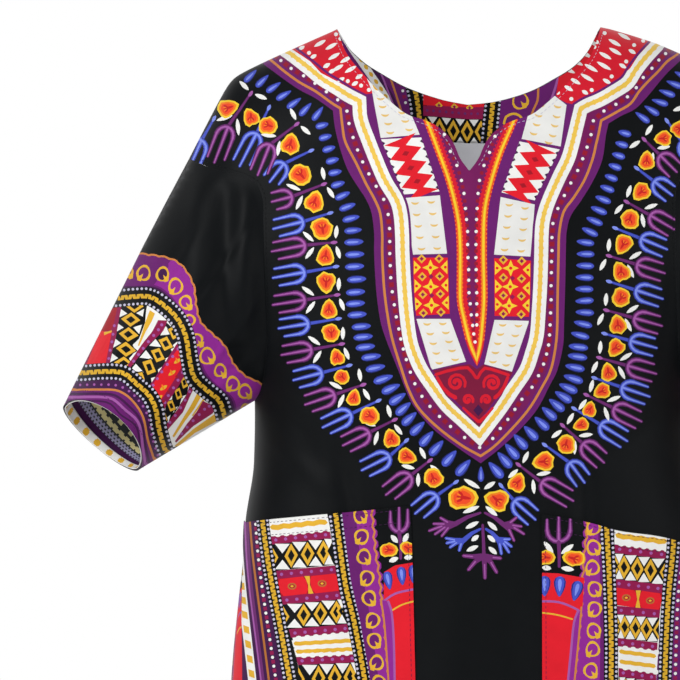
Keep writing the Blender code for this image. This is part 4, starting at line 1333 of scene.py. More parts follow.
def yoke_blocks(art):
    """Blocks of arcs, lozenges and stars inside the cord, and the scrolled heart below them."""
    art.fill("cream", [(372, 92), (375.5, 112), (380.6, 138.6), (419.5, 135.2), (409, 110), (384, 40), (352, 40)])
    for x, y in ((380.5, 99), (382.5, 107), (385, 115.5), (388, 124), (390, 133), (399, 104), (402, 113),
                 (405, 121.5), (409, 130)):
        crescent(art, x, y, 8.6)
    art.fill("cream", [(566, 105.5), (560, 147), (521, 139.5), (531, 103), (545, 40), (572, 40), (551, 94)])
    for x, y in ((557, 107), (556, 117), (554, 126), (552, 136), (548, 143), (540, 106), (538, 116),
                 (536, 125), (533, 134)):
        crescent(art, x, y, 8.6, 0.2)
    zigzag_block(art, [(381, 139.8), (421, 138), (439, 192), (403, 195)],
                 [(405.5, 154), (410.5, 168.5), (417, 181.8)])
    zigzag_block(art, [(519, 142), (559, 150), (534, 201), (501, 193)],
                 [(534.5, 160), (529, 173), (522.5, 186)])
    crescents(art, [(404.5, 198.5), (439.5, 195.8), (446.5, 254), (412.7, 255)], 5)
    crescents(art, [(500, 197.5), (534, 205), (529.5, 257), (493.3, 255)], 5)
    star_block(art, [(412.5, 258), (447.2, 258), (449.2, 314), (414.3, 316)],
               [(430, 268), (430.3, 287), (431, 305.5)])
    star_block(art, [(493.3, 258.5), (530, 261), (529, 317), (493.7, 316)],
               [(509.8, 268.5), (509.3, 287), (508.3, 306)])
    crescents(art, [(416, 319), (449.7, 319), (465.3, 361.5), (431, 369.5)], 5)
    crescents(art, [(493.7, 320), (528.2, 321), (511, 371.5), (483.5, 364)], 5)
    art.fill("maroon", [(430, 371), (452, 366), (469, 364), (476, 369), (482.5, 364.5), (500, 369), (512, 372),
                       (501, 395), (489.5, 412), (478.5, 427), (461, 411), (445, 395)])
    for parts, keep in ((CORD_LEFT, slice(None, -3)), (CORD_RIGHT, slice(3, None))):
        art.strip("purple", charted(parts)[keep], CORD_HALF - 0.5, CORD_HALF + 1.9)
    for x, y, size, turns, hand in ((455.5, 382.5, 11.4, 1.6, -1), (491.5, 383, 10.8, 1.6, 1),
                                    (467, 399.5, 6.8, 1.15, -1), (485.6, 399.5, 6.6, 1.15, 1)):
        spiral(art, "scarlet", x, y, size * 0.84, turns, 0.45 if hand < 0 else math.pi - 0.45, hand, 2.7)
    for points, width, end in (
        (((435, 374.5), (446, 371), (459, 368), (467, 367.5), (471.5, 372), (475.5, 378)), 3.0, 3.0),
        (((508, 375), (498, 371.5), (490, 369), (484, 368), (480, 372), (476.8, 378)), 3.0, 3.0),
        (((436.5, 377), (442, 387), (449, 394), (455, 397.5)), 3.2, 4.4),
        (((507, 377), (503, 387), (498, 394), (494, 397.5)), 3.2, 4.0),
        (((462.5, 407.5), (470, 414.5), (478, 421.5)), 2.4, 3.4),
        (((492, 407.5), (486, 414.5), (478.6, 421.5)), 2.4, 3.4),
    ):
        art.stroke("scarlet", points, width, end)
    art.lozenge("plum", 477.6, 410, 5.0, 6.0)


def placket(art):
    """Flame edged strips down to the point, and the dotted middle between them."""
    left = spline(PLACKET_LEFT)
    right = spline(PLACKET_RIGHT)
    first, second = resample(left, 64), resample(right, 64)
    gap = np.linalg.norm(second - first, axis=1)
    across = (second - first) / np.maximum(gap, 0.01)[:, None]

    def drawn_in(amount):
        reach = np.minimum(amount, 0.49 * gap)[:, None]
        return np.concatenate([first + across * reach, (second - across * reach)[::-1]])

    for dye, amount in (("purple", -2.4), ("scarlet", -0.8), ("orange", 0.8), ("yellow", 1.7), ("orange", 3.9),
                        ("scarlet", 5.2), ("berry", 9.4)):
        art.fill(dye, drawn_in(amount))
    for line, sign in ((left, 1), (right, -1)):
        for away, dye, tall in ((4.6, "orange", 1.6), (9.2, "scarlet", 1.5), (0.4, "orange", -1.3)):
            teeth, direction = evenly(offset(line, sign * away)[:-6], 4.2)
            for (x, y), ahead in zip(teeth, direction):
                side = sideways(ahead) * sign
                place = np.array([x, y])
                art.fill(dye, [place - ahead * 1.7, place + side * tall, place + ahead * 1.7])
    for dots in (PLACKET_DOTS_LEFT, PLACKET_DOTS_RIGHT):
        dotted(art, dots, 1.7, "wine", 1.7)


def petal_rows(art):
    """Blue petals round the yoke: over the shoulders, down the sides and round the point."""
    for line, slant in ((PETAL_TOP_LEFT, 0.36), (PETAL_TOP_RIGHT, -0.36)):
        places, direction = evenly(spline(line), 12.4)
        for (x, y), ahead in zip(places, direction):
            art.petal(x, y, unit(sideways(ahead) + ahead * slant), 17.0, 5.4)
    for line in (PETAL_SIDE_LEFT, PETAL_SIDE_RIGHT):
        places, direction = evenly(spline(line), 11.9)
        for (x, y), ahead in zip(places, direction):
            length = float(np.interp(y, (118, 126, 180, 205, 330), (17.0, 13.0, 13.5, 17.0, 18.5)))
            art.petal(x, y, sideways(ahead), length, 5.6, 0.5)
    level, slope, length, width = np.array(PETAL_SLOPES).T
    for places, side in ((PETAL_POINT_LEFT, 1.0), (PETAL_POINT_RIGHT, -1.0)):
        for x, y in places:
            tilt = math.radians(float(np.interp(y, level, slope)))
            art.petal(x, y, (side * math.cos(tilt), -math.sin(tilt)), float(np.interp(y, level, length)),
                      float(np.interp(y, level, width)), float(np.interp(y, (350, 400), (0.25, 0.9))))


def sprays(art):
    """Blue tridents, purple sprays and the flowers of the ring."""
    for places in BLUE_TRIDENTS:
        trident(art, BLUES, *places)
    for places in PURPLE_SPRAYS:
        spray(art, *places)
    ring_flowers(art)


def fingers(art, dyes, start, palm, bent, tips, width, end):
    """Small spray: dark strokes from its palm out to the tips, then a light line along each."""
    bends = [(palm[0] + (x - palm[0]) * bent[0], palm[1] + (y - palm[1]) * bent[1]) for x, y in tips]
    for bend, tip in zip(bends, tips):
        art.stroke(dyes[0], [start, bend, tip], width, end)
    for bend, (x, y) in zip(bends, tips):
        art.stroke(dyes[1], [bend, (bend[0] * 0.5 + x * 0.5, bend[1] * 0.5 + y * 0.5), (x, y)], 1.5, 1.1)


def pendant(art):
    """Flowers, leaves and small sprays hanging from the point of the yoke."""
    art.petal(480.3, 473.5, (0.0, -1.0), 15.0, 5.0)
    flower(art, 463, 496.8, math.pi, 1.42, 1, 0.80)
    flower(art, 495.8, 499.0, 0.35, 1.12, 3)
    for x0, y0, x1, y1 in (
        (463.5, 478.5, 479, 487.6), (494.4, 481.2, 483.5, 488.3), (478.6, 505.6, 462.4, 512),
        (485, 505.6, 496.5, 515), (478, 521, 465, 527.5), (487, 521, 496.5, 529.5),
        (478, 534.5, 471, 540), (487, 534.5, 494.5, 541), (477.5, 545, 466, 550), (488, 546, 496, 553),
    ):
        art.leaf(x0, y0, x1, y1, 4.6)
    for stem, palm, tips, dyes in (
        ((480, 512), (454.4, 523.3), ((440, 517), (433, 523), (428.7, 530), (434.5, 533.4), (441.2, 535.4)),
         ("mauve", "lilac")),
        ((484, 512), (503.3, 524), ((515.8, 516.6), (520.8, 525.7), (523.3, 533.2), (513.3, 539.8)),
         ("mauve", "lilac")),
        ((480, 528), (462.7, 539.8), ((445.3, 537.3), (446.1, 542.3), (449.5, 546.5), (458.6, 549.8)),
         ("blue", "lightblue")),
        ((485, 528), (497.2, 538.5), ((509.2, 538.2), (510.8, 545.6), (508.3, 551.4), (500.7, 553)),
         ("blue", "lightblue")),
    ):
        art.stroke(dyes[0], [stem, ((stem[0] + palm[0]) / 2, (stem[1] + palm[1]) / 2 - 1.5), palm], 2.2, 5.0)
        fingers(art, dyes, palm, palm, (0.5, 0.3), tips, 4.8, 3.0)
    art.stroke("mauve", [(482, 524), (482.8, 540), (483.3, 556)], 2.6, 3.6)
    tips = ((462.7, 554.8), (500, 557.2), (467.7, 568.9), (496, 571.3), (484.3, 577.1))
    fingers(art, ("mauve", "lilac"), (483.3, 555), (483.3, 556), (0.55, 0.35), tips, 5.4, 3.6)


def neck_selvage(art):
    """White and gold selvage that shows at the left neck edge."""
    art.fill("white", [(346, 40), (354, 60), (364, 65.4), (374, 73.4), (383, 92.5), (377.5, 93), (369.5, 79),
                       (356, 66), (342, 44)])
    for x0, y0, x1, y1 in ((351, 54, 357, 62), (359.5, 64.5, 366.5, 70.5), (367.5, 72.5, 372.5, 80),
                           (373.5, 82.5, 377.5, 91)):
        art.leaf(x0, y0, x1, y1, 4.8, "gold")


def yoke(art):
    """Whole print of a panel above its pockets."""
    border_bands(art)
    shoulder_strips(art)
    yoke_blocks(art)
    neck_selvage(art)
    placket(art)
    petal_rows(art)
    sprays(art)
    pendant(art)


# ---------------------------------------------------------------- print: border columns, facing and sleeve

def level(first, second, x):
    """Height at x of a line through two places."""
    return first[1] + (second[1] - first[1]) * (x - first[0]) / (second[0] - first[0])


def waved(spots, sway):
    """Places shifted down and up in turn."""
    return spots + np.array([(0, sway if k % 2 else -sway) for k in range(len(spots))])


def ladder(art, left, right, rows, shares, half_x, shear):
    """Ladder of printed rows between two edge lines; the shares across are those of its lozenges."""
    for kind, y_left, y_right, depth in rows:
        a = left(y_left)
        b = right(y_right)
        c = right(y_right + depth)
        d = left(y_left + depth)
        span = b[0] - a[0]
        if kind in ("crimson", "crimson_top", "crimson_low"):
            art.fill("crimson", [a, b, c, d])
            spots, _ = evenly(spline([(a + d) / 2, (b + c) / 2], 4.0), 10.5)
            for x, y in spots:
                art.spot("lilac", x, y, 1.75, sides=6)
            if kind != "crimson":
                first, second, away = (a, b, -1.2) if kind == "crimson_top" else (d, c, 1.2)
                teeth, _ = evenly(spline([first, second], 4.0), 8.0, 0.9)
                for x, y in teeth:
                    art.spot("white", x, y + away, 3.2, 2.6, sides=10)
        elif kind == "wave":
            art.fill("white", [a, b, c, d])
            line = spline([(a * 1.5 + d) / 2.5, (b * 1.5 + c) / 2.5], 4.0)
            art.stroke("gold", waved(evenly(line, 6.0)[0], 0.6), 5.2)
        elif kind == "gold":
            art.fill("white", [a, b, c, d])
            spots, _ = evenly(spline([(a + d) / 2, (b + c) / 2], 4.0), 5.0)
            art.stroke("gold", waved(spots, 0.3), depth * 0.58)
        elif kind == "red":
            art.fill("darkred", [a, b, c, d])
            for start, stop in ((0.0, 0.47), (0.53, 1.0)):
                p, q = a + (b - a) * start, a + (b - a) * stop
                r, t = d + (c - d) * stop, d + (c - d) * start
                art.fill("red", [p + (2.6, 0.2), q + (-2.6, 0.2), q * 0.75 + r * 0.25, q * 0.25 + r * 0.75,
                                 r + (-2.6, -0.2), t + (2.6, -0.2), t * 0.75 + p * 0.25, t * 0.25 + p * 0.75])
            top, low = (a + b) / 2, (c + d) / 2
            middle = (top + low) / 2
            art.fill("gold", [top + (-2.6, 0), top + (2.6, 0), middle + (0.8, 0), low + (2.6, 0), low + (-2.6, 0),
                              middle + (-0.8, 0)])
            for share in (0.25, 0.75):
                x = a[0] + span * share
                y = (a[1] + d[1]) / 2 + (b[1] - a[1]) * share
                art.spot("bronze", x, y, 4.4, 3.4, sides=12)
                art.spot("darkred", x, y, 3.0, 2.1, sides=10)
                art.spot("gold", x, y, 1.6, 1.1, sides=8)
        elif kind == "jewels":
            art.fill("black", [a, b, c, d])
            first = left(y_left + depth / 2)[0]
            last = right(y_left + depth / 2)[0]
            points = [first + (last - first) * share for share in shares]
            for x in points:
                share = (x - a[0]) / span
                y = (a[1] + d[1]) / 2 + (b[1] - a[1]) * share
                if share < 0.06 or share > 0.94:
                    edge = a[0] + 0.3 if share < 0.5 else b[0] - 0.3
                    inner = edge + (half_x if share < 0.5 else -half_x)
                    art.fill("gold", [(edge, y - depth * 0.42), (inner, y), (edge, y + depth * 0.42)])
                    art.fill("black", [(edge, y - depth * 0.24), (edge + (inner - edge) * 0.6, y),
                                       (edge, y + depth * 0.24)])
                    continue
                jewel(art, x, y, half_x, depth * 0.44, shear)
            for x0, x1 in zip(points[:-1], points[1:]):
                x = (x0 + x1) / 2
                share = (x - a[0]) / span
                top = a[1] + (b[1] - a[1]) * share
                low = d[1] + (b[1] - a[1]) * share
                w = (x1 - x0) * 0.43
                art.fill("white", [(x - w, top + 0.4), (x + w, top + 0.4), (x, top + depth * 0.38)])
                art.fill("white", [(x - w, low - 0.4), (x + w, low - 0.4), (x, low - depth * 0.38)])


def sloped(points):
    """Edge line of a column, given by its places down the cloth, as a function of height."""
    ys = [p[1] for p in points]
    xs = [p[0] for p in points]
    return lambda y: np.array([float(np.interp(y, ys, xs)), float(y)])


def scalloped(art, edge, toward):
    """Orange line down a scroll band's edge, bowed out in turn."""
    line, _ = evenly(edge, 5.5)
    sway = np.where(np.arange(len(line)) % 2 == 0, 1.2, -0.8) * toward
    art.stroke("line", line + np.stack([sway, np.zeros(len(line))], axis=-1), 2.0)


def scroll_band(art, inner, outer, rings, toward=1.0):
    """Purple scroll band with gold rings and a gold scalloped edge."""
    art.fill("purple", list(inner) + list(outer)[::-1])
    edge = spline(outer, 5.0)
    near = spline(inner, 5.0)
    share = 0.55 if toward > 0 else 0.86
    art.fill("violet", np.concatenate([blend(edge, near, share), edge[::-1]]))
    for x, y in evenly(edge, 11.0)[0]:
        art.spot("violet", x - toward * 0.5, y, 4.4, 5.6)
    scalloped(art, edge, toward)
    for k, (x, y) in enumerate(rings):
        ring(art, x, y, 7.3, -toward if k % 2 else toward, "purple" if toward > 0 else "violet")


def strip_top(art, x, tines, fork_y, top_y, stem_y, flowers, leaves):
    """Lilac trident over leaves and flowers at the head of a red strip."""
    reach = (tines[1] - tines[0]) / 2
    middle = (tines[0] + tines[1]) / 2
    prongs(art, (middle, fork_y), (0, -1), fork_y - top_y, reach, *PURPLES, 4.4)
    art.stroke("mauve", [(middle, fork_y), (x, (fork_y + stem_y) / 2), (x, stem_y)], 4.0, 2.6)
    for x0, y0, x1, y1 in leaves:
        art.leaf(x0, y0, x1, y1, 5.0)
    for fx, fy, angle, size, flat in flowers:
        flower(art, fx, fy, angle, size, 1, flat)


def dots_down(art, points):
    """Dotted line down the side of a column."""
    dotted(art, evenly(spline(points), 9.0)[0], 1.6, "crimson", 1.8)


def column(art):
    """Printed column of the viewer's left pocket; the plum ground and the bronze line at its left are painted shade.
    """
    # Plum ground, darker than the purple print: painted shade where the cloth turns away from the light
    art.fill("plum", [(225, 500), (300, 500), (300, 700), (225, 700)])
    selvage = spline([(240, 520), (245, 586), (255, 672), (258, 695)])
    art.strip("white", selvage, -6.0, 2.4)
    dashes, ahead = evenly(selvage, 15.0)
    for (x, y), d in zip(dashes, ahead):
        middle = np.array([x - 1.8, y])
        over = np.array([2.9, 0.9])
        art.fill("gold", [middle - d * 3.6 - over, middle - d * 3.6 + over, middle + d * 3.6 + over,
                          middle + d * 3.6 - over])
    art.strip("mauve", spline([(247.5, 518), (251.5, 580), (264.5, 680), (266.5, 700)]), -2.2, 2.2)
    art.strip("lilac", spline([(246, 518), (250, 580), (263, 680), (265, 700)]), -0.8, 0.8)
    # Bronze in place of the orange line dye: painted shade on the pocket's left side
    art.strip("bronze", spline([(251, 518), (256, 570), (271, 679), (274, 700)]), -1.1, 1.1)
    dots_down(art, [(257, 520), (262, 575), (277, 672), (281, 696)])
    left = sloped([(270, 500), (270.5, 525), (279, 580), (287, 615), (299, 661), (305.5, 695)])
    right = sloped([(326, 500), (329, 518), (338.5, 580), (348.5, 620), (358, 661), (363.5, 695)])
    art.fill("black", [(264, 500), (273, 575), (282, 620), (294, 680), (297, 700), (366, 700), (363, 672),
                       (345, 580), (335, 500)])
    art.fill("white", [left(515), right(508), right(690), left(690)])
    rows = (
        ("wave", 522, 515, 15), ("crimson_top", 536.5, 530.0, 8), ("jewels", 544.5, 538.0, 26),
        ("crimson", 570.5, 564.5, 8), ("red", 578.5, 572.5, 17.5), ("crimson", 596.0, 590.0, 8),
        ("jewels", 604, 598.0, 24.5), ("crimson_low", 628.5, 622.5, 8.5), ("gold", 639.5, 635.5, 7),
        ("gold", 647.5, 644, 7), ("crimson_top", 656, 652.5, 8), ("jewels", 664, 660.5, 28),
    )
    ladder(art, left, right, rows, (0.0, 0.29, 0.56, 0.82, 1.0), 6.2, -0.11)
    rope(art, spline([(263, 505), (264.8, 524), (271.8, 575), (280.8, 620), (292, 680), (295, 700)]), 6.6)
    rope(art, spline([(335, 500), (337, 517), (345, 580), (354, 620), (363.5, 672), (367, 700)]), 7.2)
    scroll_band(
        art,
        [(341, 500), (343, 517), (351, 580), (360, 620), (369, 672), (372.5, 700)],
        [(371, 495), (372, 511), (374, 534), (375.5, 552), (379, 575), (381, 598), (384, 620.5),
         (387, 661), (388.7, 680), (390, 700)],
        [(360.5, 515), (362, 536), (364, 556), (367, 577), (369, 597), (372.6, 619), (374, 639),
         (376.5, 661), (378.5, 681)],
    )
    strip_top(art, 400.5, (390.4, 407.5), 531, 507, 558,
              ((389, 549, math.pi, 0.86, 0.8), (407.5, 547.5, 0.4, 0.8, 0.8)),
              ((391, 534.5, 397.5, 542), (408, 532.5, 403, 542), (389, 560.5, 398, 557), (404, 557, 412, 556)))
    art.fill("red", [(384, 571), (395, 564.5), (416, 561), (420, 700), (392, 700), (390, 680), (387, 640),
                     (383.5, 600)])
    for x, y, tilt in ((388, 579.5, -0.20), (401.5, 575, -0.10), (413, 573, 0.0)):
        art.petal(x, y, (-math.sin(tilt), math.cos(tilt)), 18.0, 7.4)
    art.stroke("lilac", spline([(383.5, 600), (395, 592.5), (412, 588.5), (418, 588)]), 2.2)
    art.stroke("gold", spline([(392, 609), (402, 603.5), (414, 600), (418, 599)]), 1.6)
    art.fill("violet", [(382, 599), (388, 600), (391, 612), (393, 640), (394.5, 700), (389, 700), (387, 661),
                        (384.5, 620)])
    art.stroke("line", spline([(380.5, 598), (384, 620.5), (387, 661), (389.5, 700)]), 1.9)
    art.stroke("lilac", spline([(388, 600), (391.5, 612), (393.5, 640), (394.8, 700)]), 2.2)


def column_right(art):
    """Printed column of the viewer's right pocket."""
    left = sloped([(612, 500), (612.5, 532), (612.5, 583), (616.5, 650), (617, 695)])
    right = sloped([(667, 500), (666, 538.5), (662, 583), (657, 628), (655, 680), (654, 695)])
    art.fill("purple", [(655, 495), (740, 495), (740, 700), (650, 700)])
    art.fill("white", [left(505), right(512), right(695), left(695)])
    rows = (
        ("crimson_low", 519, 525, 9), ("wave", 529, 536, 15), ("crimson_top", 544.0, 550.5, 8.5),
        ("jewels", 552.5, 559, 25.5), ("crimson", 578.0, 584, 8.5), ("red", 586.5, 592.5, 17.5),
        ("crimson", 604.5, 609, 8.5), ("jewels", 613, 617.0, 24), ("crimson_low", 636.5, 641.5, 8.5),
        ("gold", 646.5, 651.5, 7), ("gold", 656.5, 661.5, 7), ("crimson_top", 666.5, 672.0, 8.5),
        ("jewels", 675, 680, 24),
    )
    ladder(art, left, right, rows, (0.0, 0.19, 0.45, 0.71, 1.0), 6.0, 0.11)
    rope(art, spline([(604, 500), (605, 531), (607.8, 580), (609.5, 640), (609, 695)]), 6.8)
    rope(art, spline([(672, 500), (671, 544), (667.5, 590), (665, 640), (663.5, 695)]), 6.8)
    scroll_band(
        art,
        [(597.5, 495), (598, 530), (601, 575), (602, 640), (602, 700)],
        [(586, 495), (586, 524), (583.5, 550), (582, 572), (580, 605.5), (577, 639), (573.5, 674), (571.5, 700)],
        [(592, 527), (592, 547), (591, 567), (593, 588), (593, 608), (592, 629.5), (591, 648), (589, 669)],
        toward=-1.0,
    )
    strip_top(art, 558, (546, 569), 541, 515, 566,
              ((545, 556.5, math.pi, 0.9, 0.8), (572, 557.8, 0.15, 1.06, 0.72)),
              ((543, 541, 552, 552.5), (572, 544, 560, 553), (541, 566.5, 550, 567.5), (560, 567, 572.5, 569)))
    art.fill("red", [(536, 571.5), (557, 572.5), (583, 577), (581, 606), (574, 676), (572, 700), (536, 700)])
    for x, y, tilt in ((543.5, 585, 0.0), (558.5, 585.5, 0.04), (575, 590, 0.26)):
        art.petal(x, y, (-math.sin(tilt), math.cos(tilt)), 20.0, 9.0)
    art.stroke("lilac", spline([(537, 600), (557, 601), (573, 607), (579, 611)]), 2.2)
    art.stroke("gold", spline([(537, 611), (555, 613.5), (571, 618)]), 1.6)
    art.fill("violet", [(579, 609), (576, 612), (572, 624), (569.5, 650), (566.5, 680), (565, 700),
                        (571.5, 700), (573.5, 674), (577, 639)])
    art.stroke("line", spline([(580, 606), (577, 639), (573.5, 674), (571.5, 700)]), 1.9)
    art.stroke("lilac", spline([(577, 609), (572.5, 622), (569.5, 650), (566.5, 680), (565, 700)]), 2.2)
    dots_down(art, [(683, 505), (682, 544), (677, 590), (675, 640), (674, 695)])
    art.strip("line", spline([(690, 505), (688, 590), (684, 695)]), -1.1, 1.1)
    art.strip("lilac", spline([(697, 505), (694, 590), (690, 695)]), -0.9, 0.9)
    art.strip("white", spline([(708, 505), (705, 590), (700, 695)]), -4.0, 4.0)


def back_columns(art):
    """Red strip, scroll band, rope and ladder of the back; x runs round from the side seam."""
    art.fill("red", [(-4, 590), (10, 588), (26, 592), (34, 598), (38, 700), (44, 900), (-4, 900)])
    for k, x in enumerate((3, 15.5, 28)):
        art.petal(x, 599 + 1.5 * k, (0.0, 1.0), 17.0, 7.4)
    art.stroke("lilac", spline([(-4, 612), (10, 613), (22, 617), (34, 626)]), 2.2)
    art.stroke("gold", spline([(-4, 627), (10, 628), (24, 634)]), 1.8)
    art.stroke("lilac", spline([(30, 624), (34, 660), (38, 760), (42, 900)]), 2.2)
    for k in range(3):
        x = 6.0 + 12.0 * k
        art.leaf(x, 582 - k, x + 9, 577 - k, 4.6)
    inner = [(36, 545), (38, 640), (42, 760), (48, 900)]
    outer = [(64, 545), (66, 640), (70, 760), (76, 900)]
    art.fill("purple", inner + outer[::-1])
    for line, sign in ((spline(inner), 1.0), (spline(outer), -1.0)):
        scalloped(art, line, sign)
    for k in range(16):
        y = 556 + 20.5 * k
        ring(art, 50.5 + (y - 556) * 0.035, y, 7.3, -1.0 if k % 2 else 1.0)
    left = sloped([(80, 545), (82, 640), (86, 760), (92, 900)])
    right = sloped([(136, 545), (138, 640), (142, 760), (148, 900)])
    art.fill("white", [left(545), right(545), right(900), left(900)])
    rows = []
    y = 545.0
    for _ in range(4):
        for kind, depth in (("wave", 13), ("crimson_top", 8), ("jewels", 25), ("crimson", 8), ("red", 17),
                            ("crimson", 8), ("jewels", 25), ("crimson_low", 8)):
            if y + depth < 900:
                rows.append((kind, y, y, depth))
            y += depth
    ladder(art, left, right, rows, (0.0, 0.25, 0.5, 0.75, 1.0), 6.2, 0.0)
    rope(art, spline([(72.5, 545), (74.5, 640), (78.5, 760), (84.5, 900)]), 7.2)
    rope(art, spline([(143.5, 545), (145.5, 640), (149.5, 760), (155.5, 900)]), 7.2)
    edge = [(150.5, 545), (152.5, 640), (156.5, 760), (162.5, 900)]
    art.fill("purple", edge + [(176, 900), (170, 760), (166, 640), (164, 545)])
    dots_down(art, [(x + 3.5, y) for x, y in edge])
    art.strip("line", spline([(x + 8.0, y) for x, y in edge]), -1.0, 1.0)


def facing_print(art):
    """Print of the facing inside the back neck."""
    art.fill("crimson", [(320, -20), (640, -20), (640, 200), (320, 200)])
    art.fill("purple", [(335, -20), (420, -20), (420, 200), (335, 200)])
    selvage = spline([(340, 26), (357, 56), (382, 92), (392, 110)])
    art.strip("white", selvage, -4.5, 4.5)
    for place, d in zip(*evenly(selvage, 9.0)):
        art.leaf(*(place - d * 3), *(place + d * 3), 3.6, "gold")
    art.strip("plum", spline([(346, 20), (364, 56), (388, 92), (398, 112)]), -2.0, 2.2)
    art.strip("lilac", spline([(358, 30), (377, 66), (390, 98), (396, 112)]), -0.9, 0.9)
    art.strip("line", spline([(370, 40), (388, 74), (398.5, 103), (404, 120)]), -1.0, 1.0)
    dotted(art, [(383, 46), (392, 64), (398, 78), (403, 92), (406, 104)], 1.5, "crimson", 1.8)
    rope(art, spline([(402, 40), (411, 75), (417.5, 100), (421, 125)]), 9.0, spacing=6.0)
    art.fill("red", [(424, 70), (488, 70), (488, 104), (424, 106)])
    for x in (440, 455.6, 471):
        art.lozenge("gold", x, 105, 3.8, 3.8)
        art.lozenge("crimson", x, 105, 1.7, 1.7)
    art.fill("crimson", [(424, 106.5), (488, 106), (488, 116), (424, 116.5)])
    for k in range(10):
        art.spot("mauve", 428 + 6.4 * k, 111, 1.5, sides=6)
    art.fill("black", [(424, 116.5), (488, 116.5), (488, 142), (424, 142)])
    for x in (426.5, 440.5, 454.5, 468.5, 482.5):
        jewel(art, x, 129.3, 6.0, 11.0)
        art.fill("white", [(x + 2.2, 117), (x + 11.8, 117), (x + 7, 124)])
        art.fill("white", [(x + 2.2, 141.6), (x + 11.8, 141.6), (x + 7, 134.6)])
    art.fill("crimson", [(424, 142), (488, 142), (488, 200), (424, 200)])
    rope(art, spline([(497, 60), (495.5, 90), (491.5, 130), (488, 170)]), 8.6, spacing=6.0)
    art.fill("purple", [(506, 60), (600, 20), (600, 200), (497, 200), (500, 130)])
    ring(art, 522.4, 97.5, 8.6)
    art.stroke("gold", spline([(505.8, 121), (508, 114), (515, 111), (521, 112.5), (525, 117)]), 2.4)
    art.stroke("line", spline([(540.7, 84), (540, 97), (535.7, 107), (532, 118)]), 2.2)
    art.strip("lilac", spline([(562, 70), (558, 84), (553.5, 98), (549, 112)]), -1.2, 1.2)
    art.fill("red", [(562, 70), (600, 20), (600, 110), (556, 110)])
    for x, y in ((572, 66), (580, 58), (589, 50), (596, 38)):
        art.leaf(x - 6, y - 3, x + 6, y + 3, 3.8)


SCALLOP = ((126, 255), (142, 258.5), (160, 261), (173, 265), (182, 272.5), (190, 287), (192, 306), (196.5, 324),
           (208, 336), (221, 348.5), (229, 365), (238, 376), (248, 383), (256, 386), (260, 396), (255, 408))
UPPER_ROPE = ((104, 299), (118, 298), (136, 296.5), (150, 297), (165, 306), (178, 319), (186, 336), (190, 360),
              (195, 378), (208, 391), (220, 402), (226, 424))
LOWER_ROPE = ((70, 373), (82.5, 373), (104, 371.5), (124, 373), (138, 384), (150, 395), (156.5, 409),
              (159.5, 429), (165, 450), (170, 462))
CUFF_LINE = ((62, 390), (76.5, 390), (100, 389.5), (120, 391), (135, 402), (144, 417), (148, 439), (153, 457),
             (156, 474))
CUFF_EDGE = ((56, 404), (75, 403), (106.5, 404), (120, 417), (135, 427), (139, 442), (139, 469), (140, 488))


